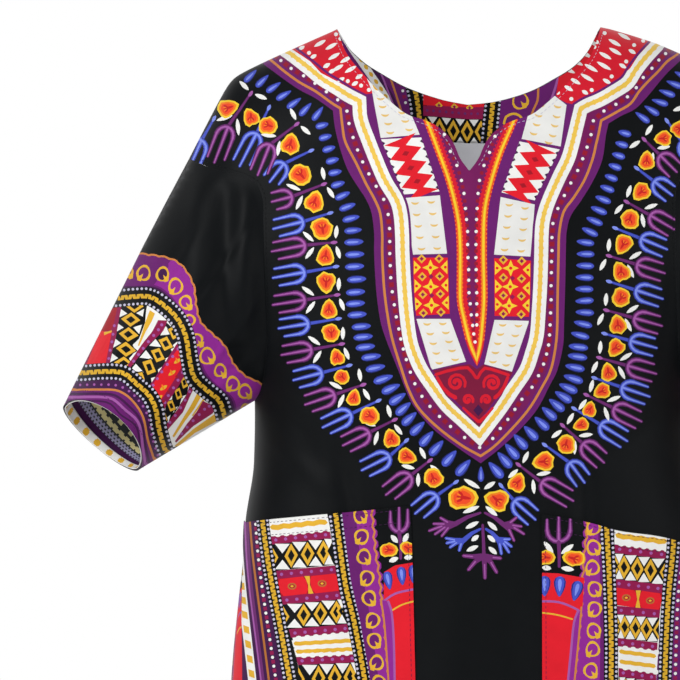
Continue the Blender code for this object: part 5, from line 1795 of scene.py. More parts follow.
# Ladder of the sleeve: dyed blocks, white teeth, lozenges (middle, half sizes, tilt), beads, gold sprigs
SLEEVE_BLOCKS = (
    ("crimson", (
        (113.6, 305.8), (120.5, 303.5), (121.2, 307.4), (118.9, 319.6), (115.9, 338.0), (112.8, 350.2),
        (110.5, 364.8), (83.0, 364.8), (98.3, 331.9)
    )),
    ("darkred", (
        (110.5, 307.4), (117.0, 307.4), (113.9, 322.7), (110.5, 330.3), (96.7, 331.9)
    )),
    ("red", (
        (98.3, 331.1), (111.7, 331.9), (109.3, 345.6), (105.9, 364.8), (86.0, 364.8), (96.7, 338.0)
    )),
    ("gold", (
        (103.6, 331.9), (107.8, 331.5), (111.7, 330.3), (111.7, 332.2), (107.5, 333.7), (103.8, 335.2)
    )),
    ("black", (
        (120.5, 303.5), (149.6, 304.3), (145.7, 322.7), (139.6, 338.0), (129.7, 364.8), (110.5, 364.8),
        (112.8, 350.2), (115.9, 338.0), (118.9, 319.6)
    )),
    ("white", (
        (148.0, 305.8), (164.1, 316.5), (161.0, 321.1), (151.9, 331.9), (142.7, 345.6), (129.7, 364.8),
        (128.9, 364.8), (139.6, 338.0), (145.7, 322.7)
    )),
    ("gold", (
        (150.8, 310.7), (155.2, 313.5), (151.9, 321.1), (145.7, 331.9), (139.6, 345.6), (138.1, 345.6),
        (142.7, 331.9), (145.7, 322.7)
    )),
    ("black", (
        (165.6, 321.1), (177.9, 331.9), (182.5, 345.6), (167.2, 362.5), (151.9, 387.0), (145.7, 385.4),
        (128.9, 370.1), (136.5, 357.9), (147.3, 344.1), (162.6, 328.8)
    )),
    ("crimson", (
        (158.0, 319.6), (167.2, 319.6), (162.9, 329.6), (147.6, 344.9), (137.3, 358.6), (128.9, 370.1),
        (128.3, 364.8), (142.7, 343.3), (151.9, 331.1)
    )),
    ("crimson", (
        (177.1, 344.1), (183.2, 345.6), (167.2, 367.1), (154.9, 387.7), (150.6, 385.4), (165.6, 362.5)
    )),
    ("red", (
        (180.6, 345.6), (184.8, 347.2), (187.8, 359.4), (173.3, 382.4), (160.3, 404.6), (156.1, 396.2),
        (152.2, 387.0), (167.2, 364.0)
    )),
    ("crimson", (
        (186.8, 358.6), (191.4, 364.0), (179.4, 385.4), (167.2, 403.8), (164.9, 409.9), (159.5, 403.8),
        (173.3, 382.4)
    )),
    ("black", (
        (187.8, 365.5), (191.7, 371.7), (194.0, 387.0), (177.9, 408.4), (167.2, 426.0), (162.9, 414.5),
        (160.3, 404.6), (167.2, 400.7), (179.4, 383.9)
    )),
    ("white", (
        (193.2, 385.4), (207.7, 394.6), (202.4, 403.8), (187.1, 423.7), (174.8, 443.6), (171.8, 452.8),
        (169.5, 439.0), (166.9, 429.8), (182.5, 411.5)
    )),
    ("gold", (
        (197.5, 393.9), (201.6, 396.2), (194.7, 408.4), (185.5, 420.6), (174.1, 437.5), (172.5, 436.0),
        (182.5, 419.1), (190.1, 406.9)
    )),
    ("gold", ((203.9, 397.7), (205.7, 398.9), (193.2, 416.1), (192.0, 415.3))),
    ("crimson", (
        (190.1, 384.7), (195.0, 386.7), (183.2, 412.2), (174.1, 422.9), (167.2, 430.6), (165.6, 426.0),
        (177.9, 409.2), (187.1, 394.6)
    )),
    ("white", (
        (214.6, 406.9), (220.0, 422.2), (173.3, 454.3), (171.5, 451.3), (174.8, 443.6), (193.2, 425.2),
        (211.6, 411.5)
    )),
    ("gold", (
        (216.2, 413.0), (219.2, 419.9), (194.7, 433.2), (173.6, 450.5), (174.5, 445.9), (193.2, 429.1)
    )),
    ("crimson", (
        (203.1, 400.7), (216.9, 407.6), (212.3, 413.8), (193.5, 426.0), (176.0, 442.8), (174.8, 441.3),
        (187.1, 423.7), (197.0, 411.5)
    )),
)
SLEEVE_TEETH = (
    ((120.2, 308.6), (127.4, 313.5), (119.4, 317.3)), ((117.9, 323.4), (124.0, 327.6), (116.0, 331.9)),
    ((115.4, 338.7), (122.0, 343.5), (113.0, 347.9)), ((112.7, 353.6), (118.8, 358.2), (110.8, 362.5)),
    ((145.1, 309.2), (136.5, 313.2), (143.9, 317.3)), ((142.7, 325.0), (134.4, 328.0), (139.6, 334.2)),
    ((139.3, 338.7), (133.2, 344.9), (135.3, 349.5)), ((135.0, 352.5), (129.7, 358.2), (131.2, 362.5)),
    ((165.3, 325.1), (171.5, 333.4), (159.8, 334.2)), ((155.2, 338.0), (161.3, 345.9), (149.1, 344.9)),
    ((146.0, 349.5), (152.8, 358.2), (139.9, 357.1)), ((136.1, 363.2), (143.9, 371.4), (130.7, 370.4)),
    ((178.6, 341.0), (170.5, 347.2), (174.1, 354.1)), ((172.5, 355.1), (165.6, 358.6), (167.2, 367.1)),
    ((165.6, 364.8), (158.7, 369.4), (160.3, 379.3)), ((158.0, 376.3), (151.9, 377.8), (153.4, 386.2)),
    ((188.6, 368.6), (190.1, 374.7), (184.8, 374.7)), ((184.3, 377.8), (177.9, 387.0), (174.1, 390.8)),
    ((173.0, 391.6), (172.5, 399.2), (167.9, 402.3)), ((166.4, 403.0), (165.6, 410.7), (161.3, 406.1)),
    ((192.9, 383.1), (188.9, 385.4), (187.8, 393.1)), ((186.8, 394.6), (182.5, 396.2), (180.2, 404.6)),
    ((178.6, 406.1), (175.1, 407.6), (173.3, 413.0)), ((171.0, 414.5), (167.2, 417.6), (168.4, 423.7)),
)
SLEEVE_JEWELS = (
    (134.6, 306.1, 9.2, 6.4, 0.05), (131.2, 319.8, 9.8, 7.0, 0.1), (128.9, 334.6, 9.5, 7.0, 0.1),
    (126.6, 349.5, 9.5, 6.9, 0.1), (124.3, 363.2, 9.2, 6.4, 0.08), (174.5, 331.9, 7.3, 7.0, 0.5),
    (165.9, 342.9, 8.3, 7.0, 0.48), (158.1, 354.2, 8.3, 7.0, 0.55), (149.6, 366.3, 8.3, 7.7, 0.62),
    (141.1, 378.5, 7.7, 7.0, 0.7), (189.4, 374.7, 4.3, 4.6, 0.9), (184.8, 382.4, 4.9, 5.8, 0.75),
    (178.8, 393.6, 4.9, 5.8, 0.7), (171.8, 405.6, 5.5, 5.5, 0.7), (164.1, 416.1, 5.2, 5.2, 0.8),
)
SLEEVE_BEADS = (
    (153.4, 334.6), (148.3, 341.0), (143.4, 347.9), (138.8, 354.1), (134.1, 360.9), (161.3, 323.9),
    (158.0, 328.8), (114.3, 325.7), (113.1, 334.2), (112.1, 341.8), (110.5, 350.2), (109.3, 358.6),
    (178.6, 349.0), (173.3, 356.4), (167.9, 364.3), (162.6, 371.7), (158.3, 378.5), (154.2, 385.1),
    (187.8, 364.0), (183.2, 372.4), (178.6, 380.1), (174.1, 387.7), (169.0, 395.4), (165.6, 402.3),
    (190.1, 391.6), (185.5, 400.0), (180.9, 407.6), (175.6, 415.3), (170.2, 422.2), (209.3, 406.1),
    (204.7, 409.2), (199.3, 414.5), (193.2, 420.6), (187.1, 427.1), (181.7, 433.7),
)
SLEEVE_SPRIGS = (
    (177.9, 360.9), (172.7, 372.9), (164.4, 387.7), (182.5, 353.3), (159.8, 397.7),
)


def sleeve_print(art):
    """Scroll band, ropes, ladder and cuff stripes, charted on the front of the viewer's left sleeve."""
    upper = spline(UPPER_ROPE)
    lower = spline(LOWER_ROPE)
    scallop = spline(SCALLOP)
    cuff_line = spline(CUFF_LINE)
    edge = spline(CUFF_EDGE)
    art.between("purple", scallop, upper)
    # Left of about x 172 the band gets no violet band and no violet spots: its darker left end is painted shade
    art.between("violet", resample(scallop)[12:], blend(scallop, upper, 0.65)[12:])
    art.between("plum", blend(scallop, upper, 0.7), upper)
    for x, y in evenly(scallop, 6.5)[0]:
        art.spot("purple" if x < 172 else "violet", x, y, 5.0)
    line, d = evenly(scallop, 2.6)
    side = np.stack([d[:, 1], -d[:, 0]], axis=-1)
    sway = 4.2 + 1.1 * np.abs(np.sin(math.pi * np.arange(len(line)) / 4.0))
    art.stroke("line", line + side * sway[:, None], 1.9)
    # Ring grounds match the band: the purple and plum grounds at its darker left end are painted shade
    for x, y, size, tail, ground in (
        (126, 271, 7.0, 1.0, "purple"), (143.5, 273, 7.4, -1.0, "purple"), (163, 274.5, 7.2, 1.0, "plum"),
        (176.5, 287, 7.8, -1.0, "violet"), (186.5, 303, 6.6, 1.0, "violet"), (190.5, 320.5, 5.6, -1.0, "violet"),
        (197.5, 339.5, 6.0, 1.0, "violet"), (207.5, 356, 8.0, 1.0, "violet"), (220.5, 370.5, 6.6, 1.0, "violet"),
        (233, 384, 7.2, -1.0, "violet"), (245, 391.5, 7.2, 1.0, "violet"), (245, 409, 5.0, 1.0, "violet"),
    ):
        ring(art, x, y, size, tail, ground)
    art.between("white", upper, lower)
    for dye, points in SLEEVE_BLOCKS:
        if dye in ("black", "white"):
            art.fill(dye, points)
    for points in SLEEVE_TEETH:
        art.fill("white", points)
    for x, y, half_x, half_y, tilt in SLEEVE_JEWELS:
        for dye, share in (("black", 1.22), ("gold", 1.05), ("black", 0.53)):
            across = np.array([math.cos(tilt), math.sin(tilt)]) * half_x * share
            up = np.array([math.sin(tilt) * 0.3, -1.0]) * half_y * share
            art.fill(dye, np.array([x, y]) + [-across, up, across, -up])
    for dye, points in SLEEVE_BLOCKS:
        if dye not in ("black", "white"):
            art.fill(dye, points)
    for x, y in SLEEVE_BEADS:
        art.spot("lilac", x, y, 1.6, sides=6)
    for x, y in SLEEVE_SPRIGS:
        art.leaf(x - 3.4, y + 2.4, x + 3.4, y - 2.4, 3.4, "gold")
        art.leaf(x - 1.6, y - 3.4, x + 0.4, y + 2.2, 2.0, "orange")
        art.spot("darkred", x + 4.6, y + 3.6, 1.4, sides=6)
    rope(art, upper, 9.2, spacing=8.0)
    art.between("plum", lower, cuff_line)
    rope(art, lower, 8.4, spacing=8.0)
    art.between("purple", cuff_line, edge)
    art.between("purple", edge, edge + np.array([-30.0, 40.0]))
    for x, y in evenly(offset(cuff_line, 5.0), 7.4)[0]:
        art.spot("lilac", x, y, 1.35, sides=6)
    art.strip("line", cuff_line, -1.0, 1.2)
    for dye, share, half in (("plum", 0.30, 1.2), ("lilac", 0.55, 1.3), ("plum", 0.86, 0.9)):
        art.strip(dye, resample(blend(cuff_line, edge, share)), -half, half)


# ---------------------------------------------------------------- cloth meshes

def covered(points, loop):
    """Which points a closed loop winds round."""
    winding = np.zeros(len(points), dtype=int)
    following = np.roll(loop, -1, axis=0)
    for (ax, ay), (bx, by) in zip(loop, following):
        if ay == by:
            continue
        crosses = (ay > points[:, 1]) != (by > points[:, 1])
        reach = ax + (points[:, 1] - ay) * (bx - ax) / (by - ay)
        winding += (crosses & (points[:, 0] < reach)) * (1 if by > ay else -1)
    return winding != 0


def staggered(loop, grid):
    """Grid places inside an outline, clear of its edge."""
    low = loop.min(axis=0)
    high = loop.max(axis=0)
    rows = int((high[1] - low[1]) / (grid * 0.87)) + 2
    columns = int((high[0] - low[0]) / grid) + 3
    row, column = np.meshgrid(np.arange(rows), np.arange(columns), indexing="ij")
    u = low[0] + (column + 0.5 * (row % 2) - 0.7) * grid
    v = low[1] + row * grid * 0.87
    places = np.stack([u.ravel(), v.ravel()], axis=-1)
    places = places[covered(places, loop)]
    keep = np.ones(len(places), dtype=bool)
    for place in loop:
        keep &= ((places - place) ** 2).sum(axis=1) > (0.4 * grid) ** 2
    return places[keep]


def signed_area(loop):
    """Area inside a loop, positive when it runs anticlockwise."""
    x, y = loop[:, 0], loop[:, 1]
    return 0.5 * float(np.sum(x * np.roll(y, -1) - np.roll(x, -1) * y))


def lay_out(outline, shapes):
    """Triangles of one flat piece; each carries the number of the last shape over it."""
    if signed_area(outline) < 0:
        outline = outline[::-1]
    points = []
    edges = []
    for loop in [outline] + list(shapes):
        start = len(points)
        count = len(loop)
        points.extend(Vector((float(u), float(v))) for u, v in loop)
        edges.extend((start + i, start + (i + 1) % count) for i in range(count))
    points.extend(Vector((float(u), float(v))) for u, v in staggered(outline, FINE))
    verts, _, tris, _, _, _ = delaunay_2d_cdt(points, edges, [], 0, 1e-5, False)
    flat = np.array([[v.x, v.y] for v in verts])
    tris = np.array([list(t) for t in tris])
    centres = flat[tris].mean(axis=1)
    kept = covered(centres, outline)
    tris = tris[kept]
    centres = centres[kept]
    corner = flat[tris]
    area = np.cross(corner[:, 1] - corner[:, 0], corner[:, 2] - corner[:, 0])
    tris[area < 0] = tris[area < 0][:, ::-1]
    over = np.full(len(tris), -1)
    order = np.argsort(centres[:, 1])
    heights = centres[order, 1]
    for number, loop in enumerate(shapes):
        first = np.searchsorted(heights, loop[:, 1].min())
        last = np.searchsorted(heights, loop[:, 1].max())
        near = order[first:last]
        x = centres[near, 0]
        near = near[(x >= loop[:, 0].min()) & (x <= loop[:, 0].max())]
        if len(near):
            over[near[covered(centres[near], loop)]] = number
    used, index = np.unique(tris, return_inverse=True)
    return flat[used], index.reshape(tris.shape), over


def rim_edges(tris):
    """Directed edges that only one triangle has."""
    edges = np.concatenate([tris[:, [0, 1]], tris[:, [1, 2]], tris[:, [2, 0]]])
    seen = {(int(a), int(b)) for a, b in edges}
    return [(a, b) for a, b in seen if (b, a) not in seen]


def rim_loop(tris):
    """The outline's vertices in order round a piece."""
    following = dict(rim_edges(tris))
    start = min(following)
    loop = [start]
    while following[loop[-1]] != start:
        loop.append(following[loop[-1]])
        if len(loop) > len(following):
            break
    return loop


def soft_normals(points, tris):
    """Vertex normals, each triangle counted by its area."""
    face = np.cross(points[tris[:, 1]] - points[tris[:, 0]], points[tris[:, 2]] - points[tris[:, 0]])
    total = np.zeros_like(points)
    for k in range(3):
        np.add.at(total, tris[:, k], face)
    return unit(total)


materials = {}
DYE_DEPTH = 0.74
FINE = 5.0 * MM
COARSE = 6.5 * MM


def linear(value):
    """Screen value from 0 to 255 as light."""
    value = value / 255.0
    return value / 12.92 if value <= 0.04045 else ((value + 0.055) / 1.055) ** 2.4


def dye_material(name, rgb, roughness, sheen, shine):
    """Printed cotton in one dye: even weave, faint uneven colour."""
    if name in materials:
        return materials[name]
    material = bpy.data.materials.new("cloth_" + name)
    material.use_nodes = True
    tree = material.node_tree
    shader = tree.nodes["Principled BSDF"]
    colour = [linear(c) * DYE_DEPTH for c in rgb]
    shader.inputs["Roughness"].default_value = roughness
    shader.inputs["Specular IOR Level"].default_value = shine
    shader.inputs["Sheen Weight"].default_value = sheen
    shader.inputs["Sheen Roughness"].default_value = 0.5
    place = tree.nodes.new("ShaderNodeTexCoord")
    cloud = tree.nodes.new("ShaderNodeTexNoise")
    cloud.inputs["Scale"].default_value = 55.0
    cloud.inputs["Detail"].default_value = 3.0
    mix = tree.nodes.new("ShaderNodeMix")
    mix.data_type = "RGBA"
    mix.inputs["A"].default_value = (*[c * 0.86 for c in colour], 1.0)
    mix.inputs["B"].default_value = (*[min(1.0, c * 1.10 + 0.001) for c in colour], 1.0)
    tree.links.new(place.outputs["Object"], cloud.inputs["Vector"])
    tree.links.new(cloud.outputs["Fac"], mix.inputs["Factor"])
    tree.links.new(mix.outputs["Result"], shader.inputs["Base Color"])
    threads = []
    for direction in ("X", "Z"):
        wave = tree.nodes.new("ShaderNodeTexWave")
        wave.bands_direction = direction
        wave.inputs["Scale"].default_value = 620.0
        wave.inputs["Distortion"].default_value = 0.6
        wave.inputs["Detail"].default_value = 1.0
        tree.links.new(place.outputs["Object"], wave.inputs["Vector"])
        threads.append(wave)
    weave = tree.nodes.new("ShaderNodeMath")
    weave.operation = "ADD"
    tree.links.new(threads[0].outputs["Fac"], weave.inputs[0])
    tree.links.new(threads[1].outputs["Fac"], weave.inputs[1])
    bump_node = tree.nodes.new("ShaderNodeBump")
    bump_node.inputs["Strength"].default_value = 0.22
    bump_node.inputs["Distance"].default_value = 0.00006
    tree.links.new(weave.outputs["Value"], bump_node.inputs["Height"])
    tree.links.new(bump_node.outputs["Normal"], shader.inputs["Normal"])
    materials[name] = material
    return material


def placed(name, data):
    """Object in the scene for a mesh, a lamp or a camera."""
    thing = bpy.data.objects.new(name, data)
    bpy.context.scene.collection.objects.link(thing)
    return thing


def make_mesh(name, points, faces, normals, dyes, flats=None):
    """Mesh object with smooth given normals and one material slot for each dye used."""
    mesh = bpy.data.meshes.new(name)
    mesh.vertices.add(len(points))
    mesh.vertices.foreach_set("co", np.asarray(points, dtype=np.float32).ravel())
    sizes = np.array([len(f) for f in faces])
    corners = np.concatenate([np.asarray(f) for f in faces])
    mesh.loops.add(len(corners))
    mesh.loops.foreach_set("vertex_index", corners.astype(np.int32))
    mesh.polygons.add(len(faces))
    mesh.polygons.foreach_set("loop_start", np.concatenate([[0], np.cumsum(sizes)[:-1]]).astype(np.int32))
    used = sorted(set(dyes), key=DYE_NAMES.index)
    for dye in used:
        finish = (0.50, 0.010, 0.08) if dye == "black" else (0.70, 0.04, 0.16)
        mesh.materials.append(dye_material(dye, DYES[dye], *finish))
    slots = {dye: k for k, dye in enumerate(used)}
    mesh.polygons.foreach_set("material_index", np.array([slots[d] for d in dyes], dtype=np.int32))
    mesh.polygons.foreach_set("use_smooth", np.ones(len(faces), dtype=bool))
    mesh.update(calc_edges=True)
    if flats is not None:
        layer = mesh.uv_layers.new(name="OFBake")
        layer.data.foreach_set("uv", flats[corners].astype(np.float32).ravel())
    mesh.normals_split_custom_set_from_vertices([tuple(n) for n in normals])
    return placed(name, mesh)


def thin_shell(name, flat, tris, dyes, skin, lining, inward):
    """Closed thin cloth: printed skin, plain wrong side on a coarse net, and the cut edge."""
    loop = rim_loop(tris)
    rim = flat[loop]
    if inward:
        tris = tris[:, ::-1]
    outer = skin(flat)
    normal = soft_normals(outer, tris)
    places = np.concatenate([rim, staggered(rim, COARSE)])
    verts, _, net, _, _, _ = delaunay_2d_cdt([Vector((float(u), float(v))) for u, v in places], [],
                                             [list(range(len(rim)))], 1, 1e-9)
    inner_flat = np.array([[v.x, v.y] for v in verts])
    net = np.array([list(f) for f in net])
    if len(inner_flat) != len(places):
        raise ValueError(name + ": the wrong side doesn't match its edge")
    if inward:
        net = net[:, ::-1]
    face_side = skin(inner_flat)
    inner_normal = soft_normals(face_side, net)
    inner = face_side - inner_normal * CLOTH
    inner[:len(loop)] = outer[loop] - normal[loop] * CLOTH
    count = len(outer)
    faces = [tuple(t) for t in tris] + [tuple(count + i for i in reversed(t)) for t in net]
    dye_list = list(dyes) + [lining] * len(net)
    for k in range(len(loop)):
        a, b = loop[k], loop[(k + 1) % len(loop)]
        c, d = count + k, count + (k + 1) % len(loop)
        faces.append((a, b, d, c) if inward else (b, a, c, d))
        dye_list.append(lining)
    low = flat.min(axis=0)
    size = float(max(flat.max(axis=0) - low)) * 1.02
    uv = np.concatenate([(flat - low) / size * (0.5, 1.0), (inner_flat - low) / size * (0.5, 1.0) + (0.5, 0.0)])
    normals = np.concatenate([normal, -inner_normal])
    return make_mesh(name, np.concatenate([outer, inner]), faces, normals, dye_list, uv)


def laid(art, rule):
    """The print's shapes, all moved by one rule."""
    sizes = [len(shape) for _, shape in art.shapes]
    return np.split(rule(np.concatenate([shape for _, shape in art.shapes])), np.cumsum(sizes)[:-1])


def charted_flat(whole, back):
    """Chart places laid on a body panel."""
    z = (CHART_SHOULDER - whole[:, 1]) * CHART
    x = (whole[:, 0] - CHART_CENTRE) * CHART - lean(z)
    for _ in range(3):
        level_z = (CHART_SHOULDER - whole[:, 1]) * CHART - rise(x, z)
        z = 0.5 * z + 0.5 * level_z
    z = level_z
    angle, fall = body_place(x, z, back)
    over = np.maximum(z - ridge_height(x), 0.0)
    fall = fall - ROLL_ARC * np.arccos(np.clip(1 - over / SHOULDER_ROLL, -1.0, 1.0))
    wide = np.maximum(np.abs(x) / half_width(z) - 1.0, 0.0)
    angle = angle + np.sign(angle) * np.sqrt(2 * wide) * (-1.0 if back else 1.0)
    return to_flat(angle, fall, back)


def side_flat(whole, side):
    """Places of the back's columns, laid on the back panel by their distance round from the side seam."""
    heights = np.linspace(HEM_Z - 20 * MM, UNDERARM_Z, 24)
    reach = whole[:, 0] * CHART
    z = (CHART_SHOULDER - whole[:, 1]) * CHART
    turns = []
    falls = []
    shares = np.linspace(0, 1, 70)
    for height in heights:
        seam = float(seam_angle(height))
        angle = seam + (math.pi - seam) * shares
        x = width_at(angle, height)
        way = lengths(np.stack([x, depth_at(angle, height)], axis=-1))
        turn = np.interp(reach, way, angle)
        turns.append(np.where(reach < 0, seam + reach / 0.15, turn))
        falls.append(hanging_fall(np.interp(reach, way, x), z))
    place = np.interp(z, heights, np.arange(len(heights)))
    low = np.clip(np.floor(place).astype(int), 0, len(heights) - 2)
    share = place - low
    columns = np.arange(len(z))
    turns = np.array(turns)
    falls = np.array(falls)
    angle = turns[low, columns] * (1 - share) + turns[low + 1, columns] * share
    fall = falls[low, columns] * (1 - share) + falls[low + 1, columns] * share
    return to_flat(side * angle, fall, True)


def body_piece(name, outline, art, ground, back, lift, lining, mouth=None, inward=False, sides=None):
    """Piece of cloth lying on the body: its outline, its print on a ground dye and its wrong side."""
    shapes = laid(art, lambda whole: charted_flat(whole, back)) if art.shapes else []
    shape_dyes = [dye for dye, _ in art.shapes]
    if sides is not None:
        for side in (-1.0, 1.0):
            shapes = shapes + laid(sides, lambda whole: side_flat(whole, side))
            shape_dyes += [dye for dye, _ in sides.shapes]
    flat, tris, over = lay_out(outline, shapes)
    dyes = [ground if k < 0 else shape_dyes[k] for k in over]
    return thin_shell(name, flat, tris, dyes, lambda f: body_skin(f, back, lift, mouth), lining, inward)


# Print showing through inside the cuff: depth from and to, mm, two dyes, their period and the first one's share
INSIDE_BANDS = (
    (0.0, 15.5, "plum", "plum", 2, 1),
    (15.5, 17.0, "wrong", "haze", 4, 2),
    (17.0, 18.6, "haze", "haze", 2, 1),
    (18.6, 20.2, "haze", "wrong", 4, 2),
    (20.2, 21.8, "haze", "haze", 2, 1),
    (21.8, 23.2, "wrong", "haze", 4, 2),
    (23.2, 24.6, "wrong", "wrong", 2, 1),
    (24.6, 26.6, "straw", "wrong", 8, 6),
    (26.6, 29.6, "straw", "straw", 2, 1),
    (29.6, 31.6, "wrong", "straw", 8, 3),
    (31.6, 35.0, "wrong", "wrong", 2, 1),
    (35.0, 50.0, "straw", "wrong", 14, 5),
)


INSIDE_DEPTH = 50.0


def inside_dye(column, depth):
    """Dye inside the sleeve at a column round it and a depth from the cuff, mm."""
    for low, high, first, second, period, share in INSIDE_BANDS:
        if low <= depth < high:
            return first if column % period < share else second
    return "wrong"


def zip_rings(ids_a, turns_a, ids_b, turns_b):
    """Triangles between two rings whose points don't match."""
    result = []
    i = j = 0
    while i < len(ids_a) or j < len(ids_b):
        next_a = turns_a[i + 1] if i + 1 < len(ids_a) else 2.0 + turns_a[0] if i < len(ids_a) else 9.0
        next_b = turns_b[j + 1] if j + 1 < len(ids_b) else 2.0 + turns_b[0] if j < len(ids_b) else 9.0
        a = ids_a[i % len(ids_a)]
        b = ids_b[j % len(ids_b)]
        if next_a <= next_b:
            i += 1
            result.append((a, ids_a[i % len(ids_a)], b))
        else:
            j += 1
            result.append((a, ids_b[j % len(ids_b)], b))
    return result


def ring_net(rows, columns):
    """Triangles of a net of rows closed round a tube."""
    net = []
    for j in range(rows - 1):
        for i in range(columns):
            a = j * columns + i
            b = j * columns + (i + 1) % columns
            net += [(a, b, b + columns), (a, b + columns, a + columns)]
    return np.array(net)


def sleeve_piece(name, side, layout, lining):
    """Whole sleeve from its charted front half and the same half turned behind."""
    flat, tris, dyes = layout
    turn = np.concatenate([flat[:, 0], 2.0 * SLEEVE_TURN - flat[:, 0]]) / SLEEVE_TURN
    run = np.concatenate([flat[:, 1], flat[:, 1]]) / SLEEVE_RUN
    count = len(flat)
    both = np.concatenate([tris, tris[:, ::-1] + count])
    keys = {}
    target = np.arange(2 * count)
    for i in np.where((np.abs(np.mod(turn, 1.0)) < 1e-6) | (np.abs(np.mod(turn, 1.0) - 1.0) < 1e-6))[0]:
        key = (round(float(np.mod(turn[i] + 1e-7, 2.0)), 3), round(float(run[i]), 7))
        target[i] = keys.setdefault(key, i)
    both = target[both]
    used, index = np.unique(both, return_inverse=True)
    both = index.reshape(both.shape)
    turn = turn[used]
    run = run[used]
    outer = sleeve_skin(turn, run, 0.0)
    normal = soft_normals(outer, both)
    if np.sum(normal * (outer - SLEEVE_MIDDLE)) < 0:
        both = both[:, ::-1]
        normal = -normal
    rims = rim_edges(both)
    inner = outer - normal * CLOTH
    # The wrong side has its own net; near the cuff it is fine enough to show the print coming through.
    coarse_turn = np.linspace(0, 2, 289)[:-1]
    coarse_run = np.concatenate([np.linspace(0, 1 - (INSIDE_DEPTH + 2) * MM / SLEEVE_RUN, 36)[1:],
                                 1 - np.arange(INSIDE_DEPTH, 0, -1.5) * MM / SLEEVE_RUN])
    ends = {}
    for end in (0.0, 1.0):
        ring_ids = np.array([i for i in {a for a, b in rims} if abs(run[i] - end) < 1e-6])
        ends[end] = ring_ids[np.argsort(np.mod(turn[ring_ids] + 1e-9, 2.0))]
    grid_turn, grid_run = np.meshgrid(coarse_turn, coarse_run)
    grid_points = sleeve_skin(grid_turn.ravel(), grid_run.ravel(), 0.0)
    rows = len(coarse_run)
    columns = len(coarse_turn)
    net = ring_net(rows, columns)
    grid_normal = soft_normals(grid_points, net)
    if np.sum(grid_normal * (grid_points - SLEEVE_MIDDLE)) < 0:
        grid_normal = -grid_normal
        net = net[:, ::-1]
    grid_points = grid_points - grid_normal * CLOTH
    first = len(outer)
    start_ids = first + np.arange(len(ends[0.0]))
    grid_ids = start_ids[-1] + 1 + np.arange(rows * columns)
    end_ids = grid_ids[-1] + 1 + np.arange(len(ends[1.0]))
    points = np.concatenate([outer, inner[ends[0.0]], grid_points, inner[ends[1.0]]])
    normals = np.concatenate([normal, -normal[ends[0.0]], -grid_normal, -normal[ends[1.0]]])
    faces = [tuple(t) for t in both] + [tuple(grid_ids[i] for i in reversed(t)) for t in net]

    def turns_of(ids):
        return np.mod(turn[ids] + 1e-9, 2.0)

    net_dyes = []
    for tri in net:
        cell = min(int(t) for t in tri)
        depth = (1 - coarse_run[cell // columns]) * SLEEVE_RUN / MM
        column = cell % columns
        net_dyes.append(inside_dye(column, depth) if depth < INSIDE_DEPTH else lining)
    zipped = zip_rings(start_ids, turns_of(ends[0.0]), grid_ids[:columns], coarse_turn)
    other = zip_rings(grid_ids[-columns:], coarse_turn, end_ids, turns_of(ends[1.0]))
    for tri in zipped + other:
        corners = points[list(tri)]
        across = np.cross(corners[1] - corners[0], corners[2] - corners[0])
        outwards = sum(normals[i] for i in tri)
        faces.append(tri if np.dot(across, outwards) > 0 else tri[::-1])
    inner_of = {int(o): int(i) for o, i in zip(ends[0.0], start_ids)}
    inner_of.update({int(o): int(i) for o, i in zip(ends[1.0], end_ids)})
    for a, b in rims:
        faces.append((b, a, inner_of[a], inner_of[b]))
    dye_list = list(dyes) * 2 + net_dyes
    dye_list += [lining] * (len(faces) - len(dye_list))
    points[:, 0] *= side
    points[:, 2] += rise(points[:, 0], points[:, 2])
    points[:, 0] += lean(points[:, 2])
    normals[:, 0] *= side
    if side < 0:
        faces = [tuple(reversed(f)) for f in faces]
    uv = np.zeros((len(points), 2))
    uv[:first, 0] = turn * 0.25
    uv[:first, 1] = run
    uv[first:, 0] = 0.5 + 0.5 * np.linspace(0, 1, len(points) - first)
    return make_mesh(name, points, faces, normals, dye_list, uv)


# Print inside the cuff, mm from the edge: where each row ends
CUFF_ROWS = (1.0, 2.0, 3.4, 4.8, 6.2, 7.6, 8.6)


def cuff_dye(column, depth):
    """White selvage with a row of gold blots, at a column round the cuff and a depth, mm."""
    across = (column % 16.0 - 8.0) / 3.9
    along = (depth - 4.8) / 3.7
    return "gold" if across ** 2 + along ** 2 < 1.0 else "white"


def cuff_piece(name, side):
    """Turned edge inside a cuff: white selvage with gold blots."""
    columns = 288
    turns = np.linspace(0, 2, columns + 1)[:-1]
    depths = np.array((0.0,) + CUFF_ROWS) * MM
    runs = 1.0 - depths / SLEEVE_RUN
    rings = []
    for below in (WALL + GAP, WALL + GAP + 0.7 * MM):
        for run in (runs if below < WALL + GAP + 0.1 * MM else runs[::-1]):
            rings.append(sleeve_skin(turns, np.full(columns, run), -below))
    points = np.concatenate(rings)
    faces = []
    dyes = []
    total = len(rings)
    for j in range(total):
        row = total - 2 - j
        for i in range(columns):
            a = j * columns + i
            b = j * columns + (i + 1) % columns
            c = ((j + 1) % total) * columns + (i + 1) % columns
            d = ((j + 1) % total) * columns + i
            faces.append((a, b, c, d))
            inner_face = len(runs) <= j < total - 1
            dyes.append(cuff_dye(i, CUFF_ROWS[row]) if inner_face else "white")
    points[:, 0] = points[:, 0] * side + lean(points[:, 2])
    tris = np.array([(f[0], f[1], f[2]) for f in faces] + [(f[0], f[2], f[3]) for f in faces])
    volume = float(np.sum(points[tris[:, 0]] * np.cross(points[tris[:, 1]], points[tris[:, 2]])))
    if volume < 0:
        faces = [tuple(reversed(f)) for f in faces]
        tris = tris[:, ::-1]
    return make_mesh(name, points, faces, soft_normals(points, tris), dyes)


# ---------------------------------------------------------------- the pieces

def printed(draw):
    """Print of a piece, drawn by one function."""
    art = Print()
    draw(art)
    return art


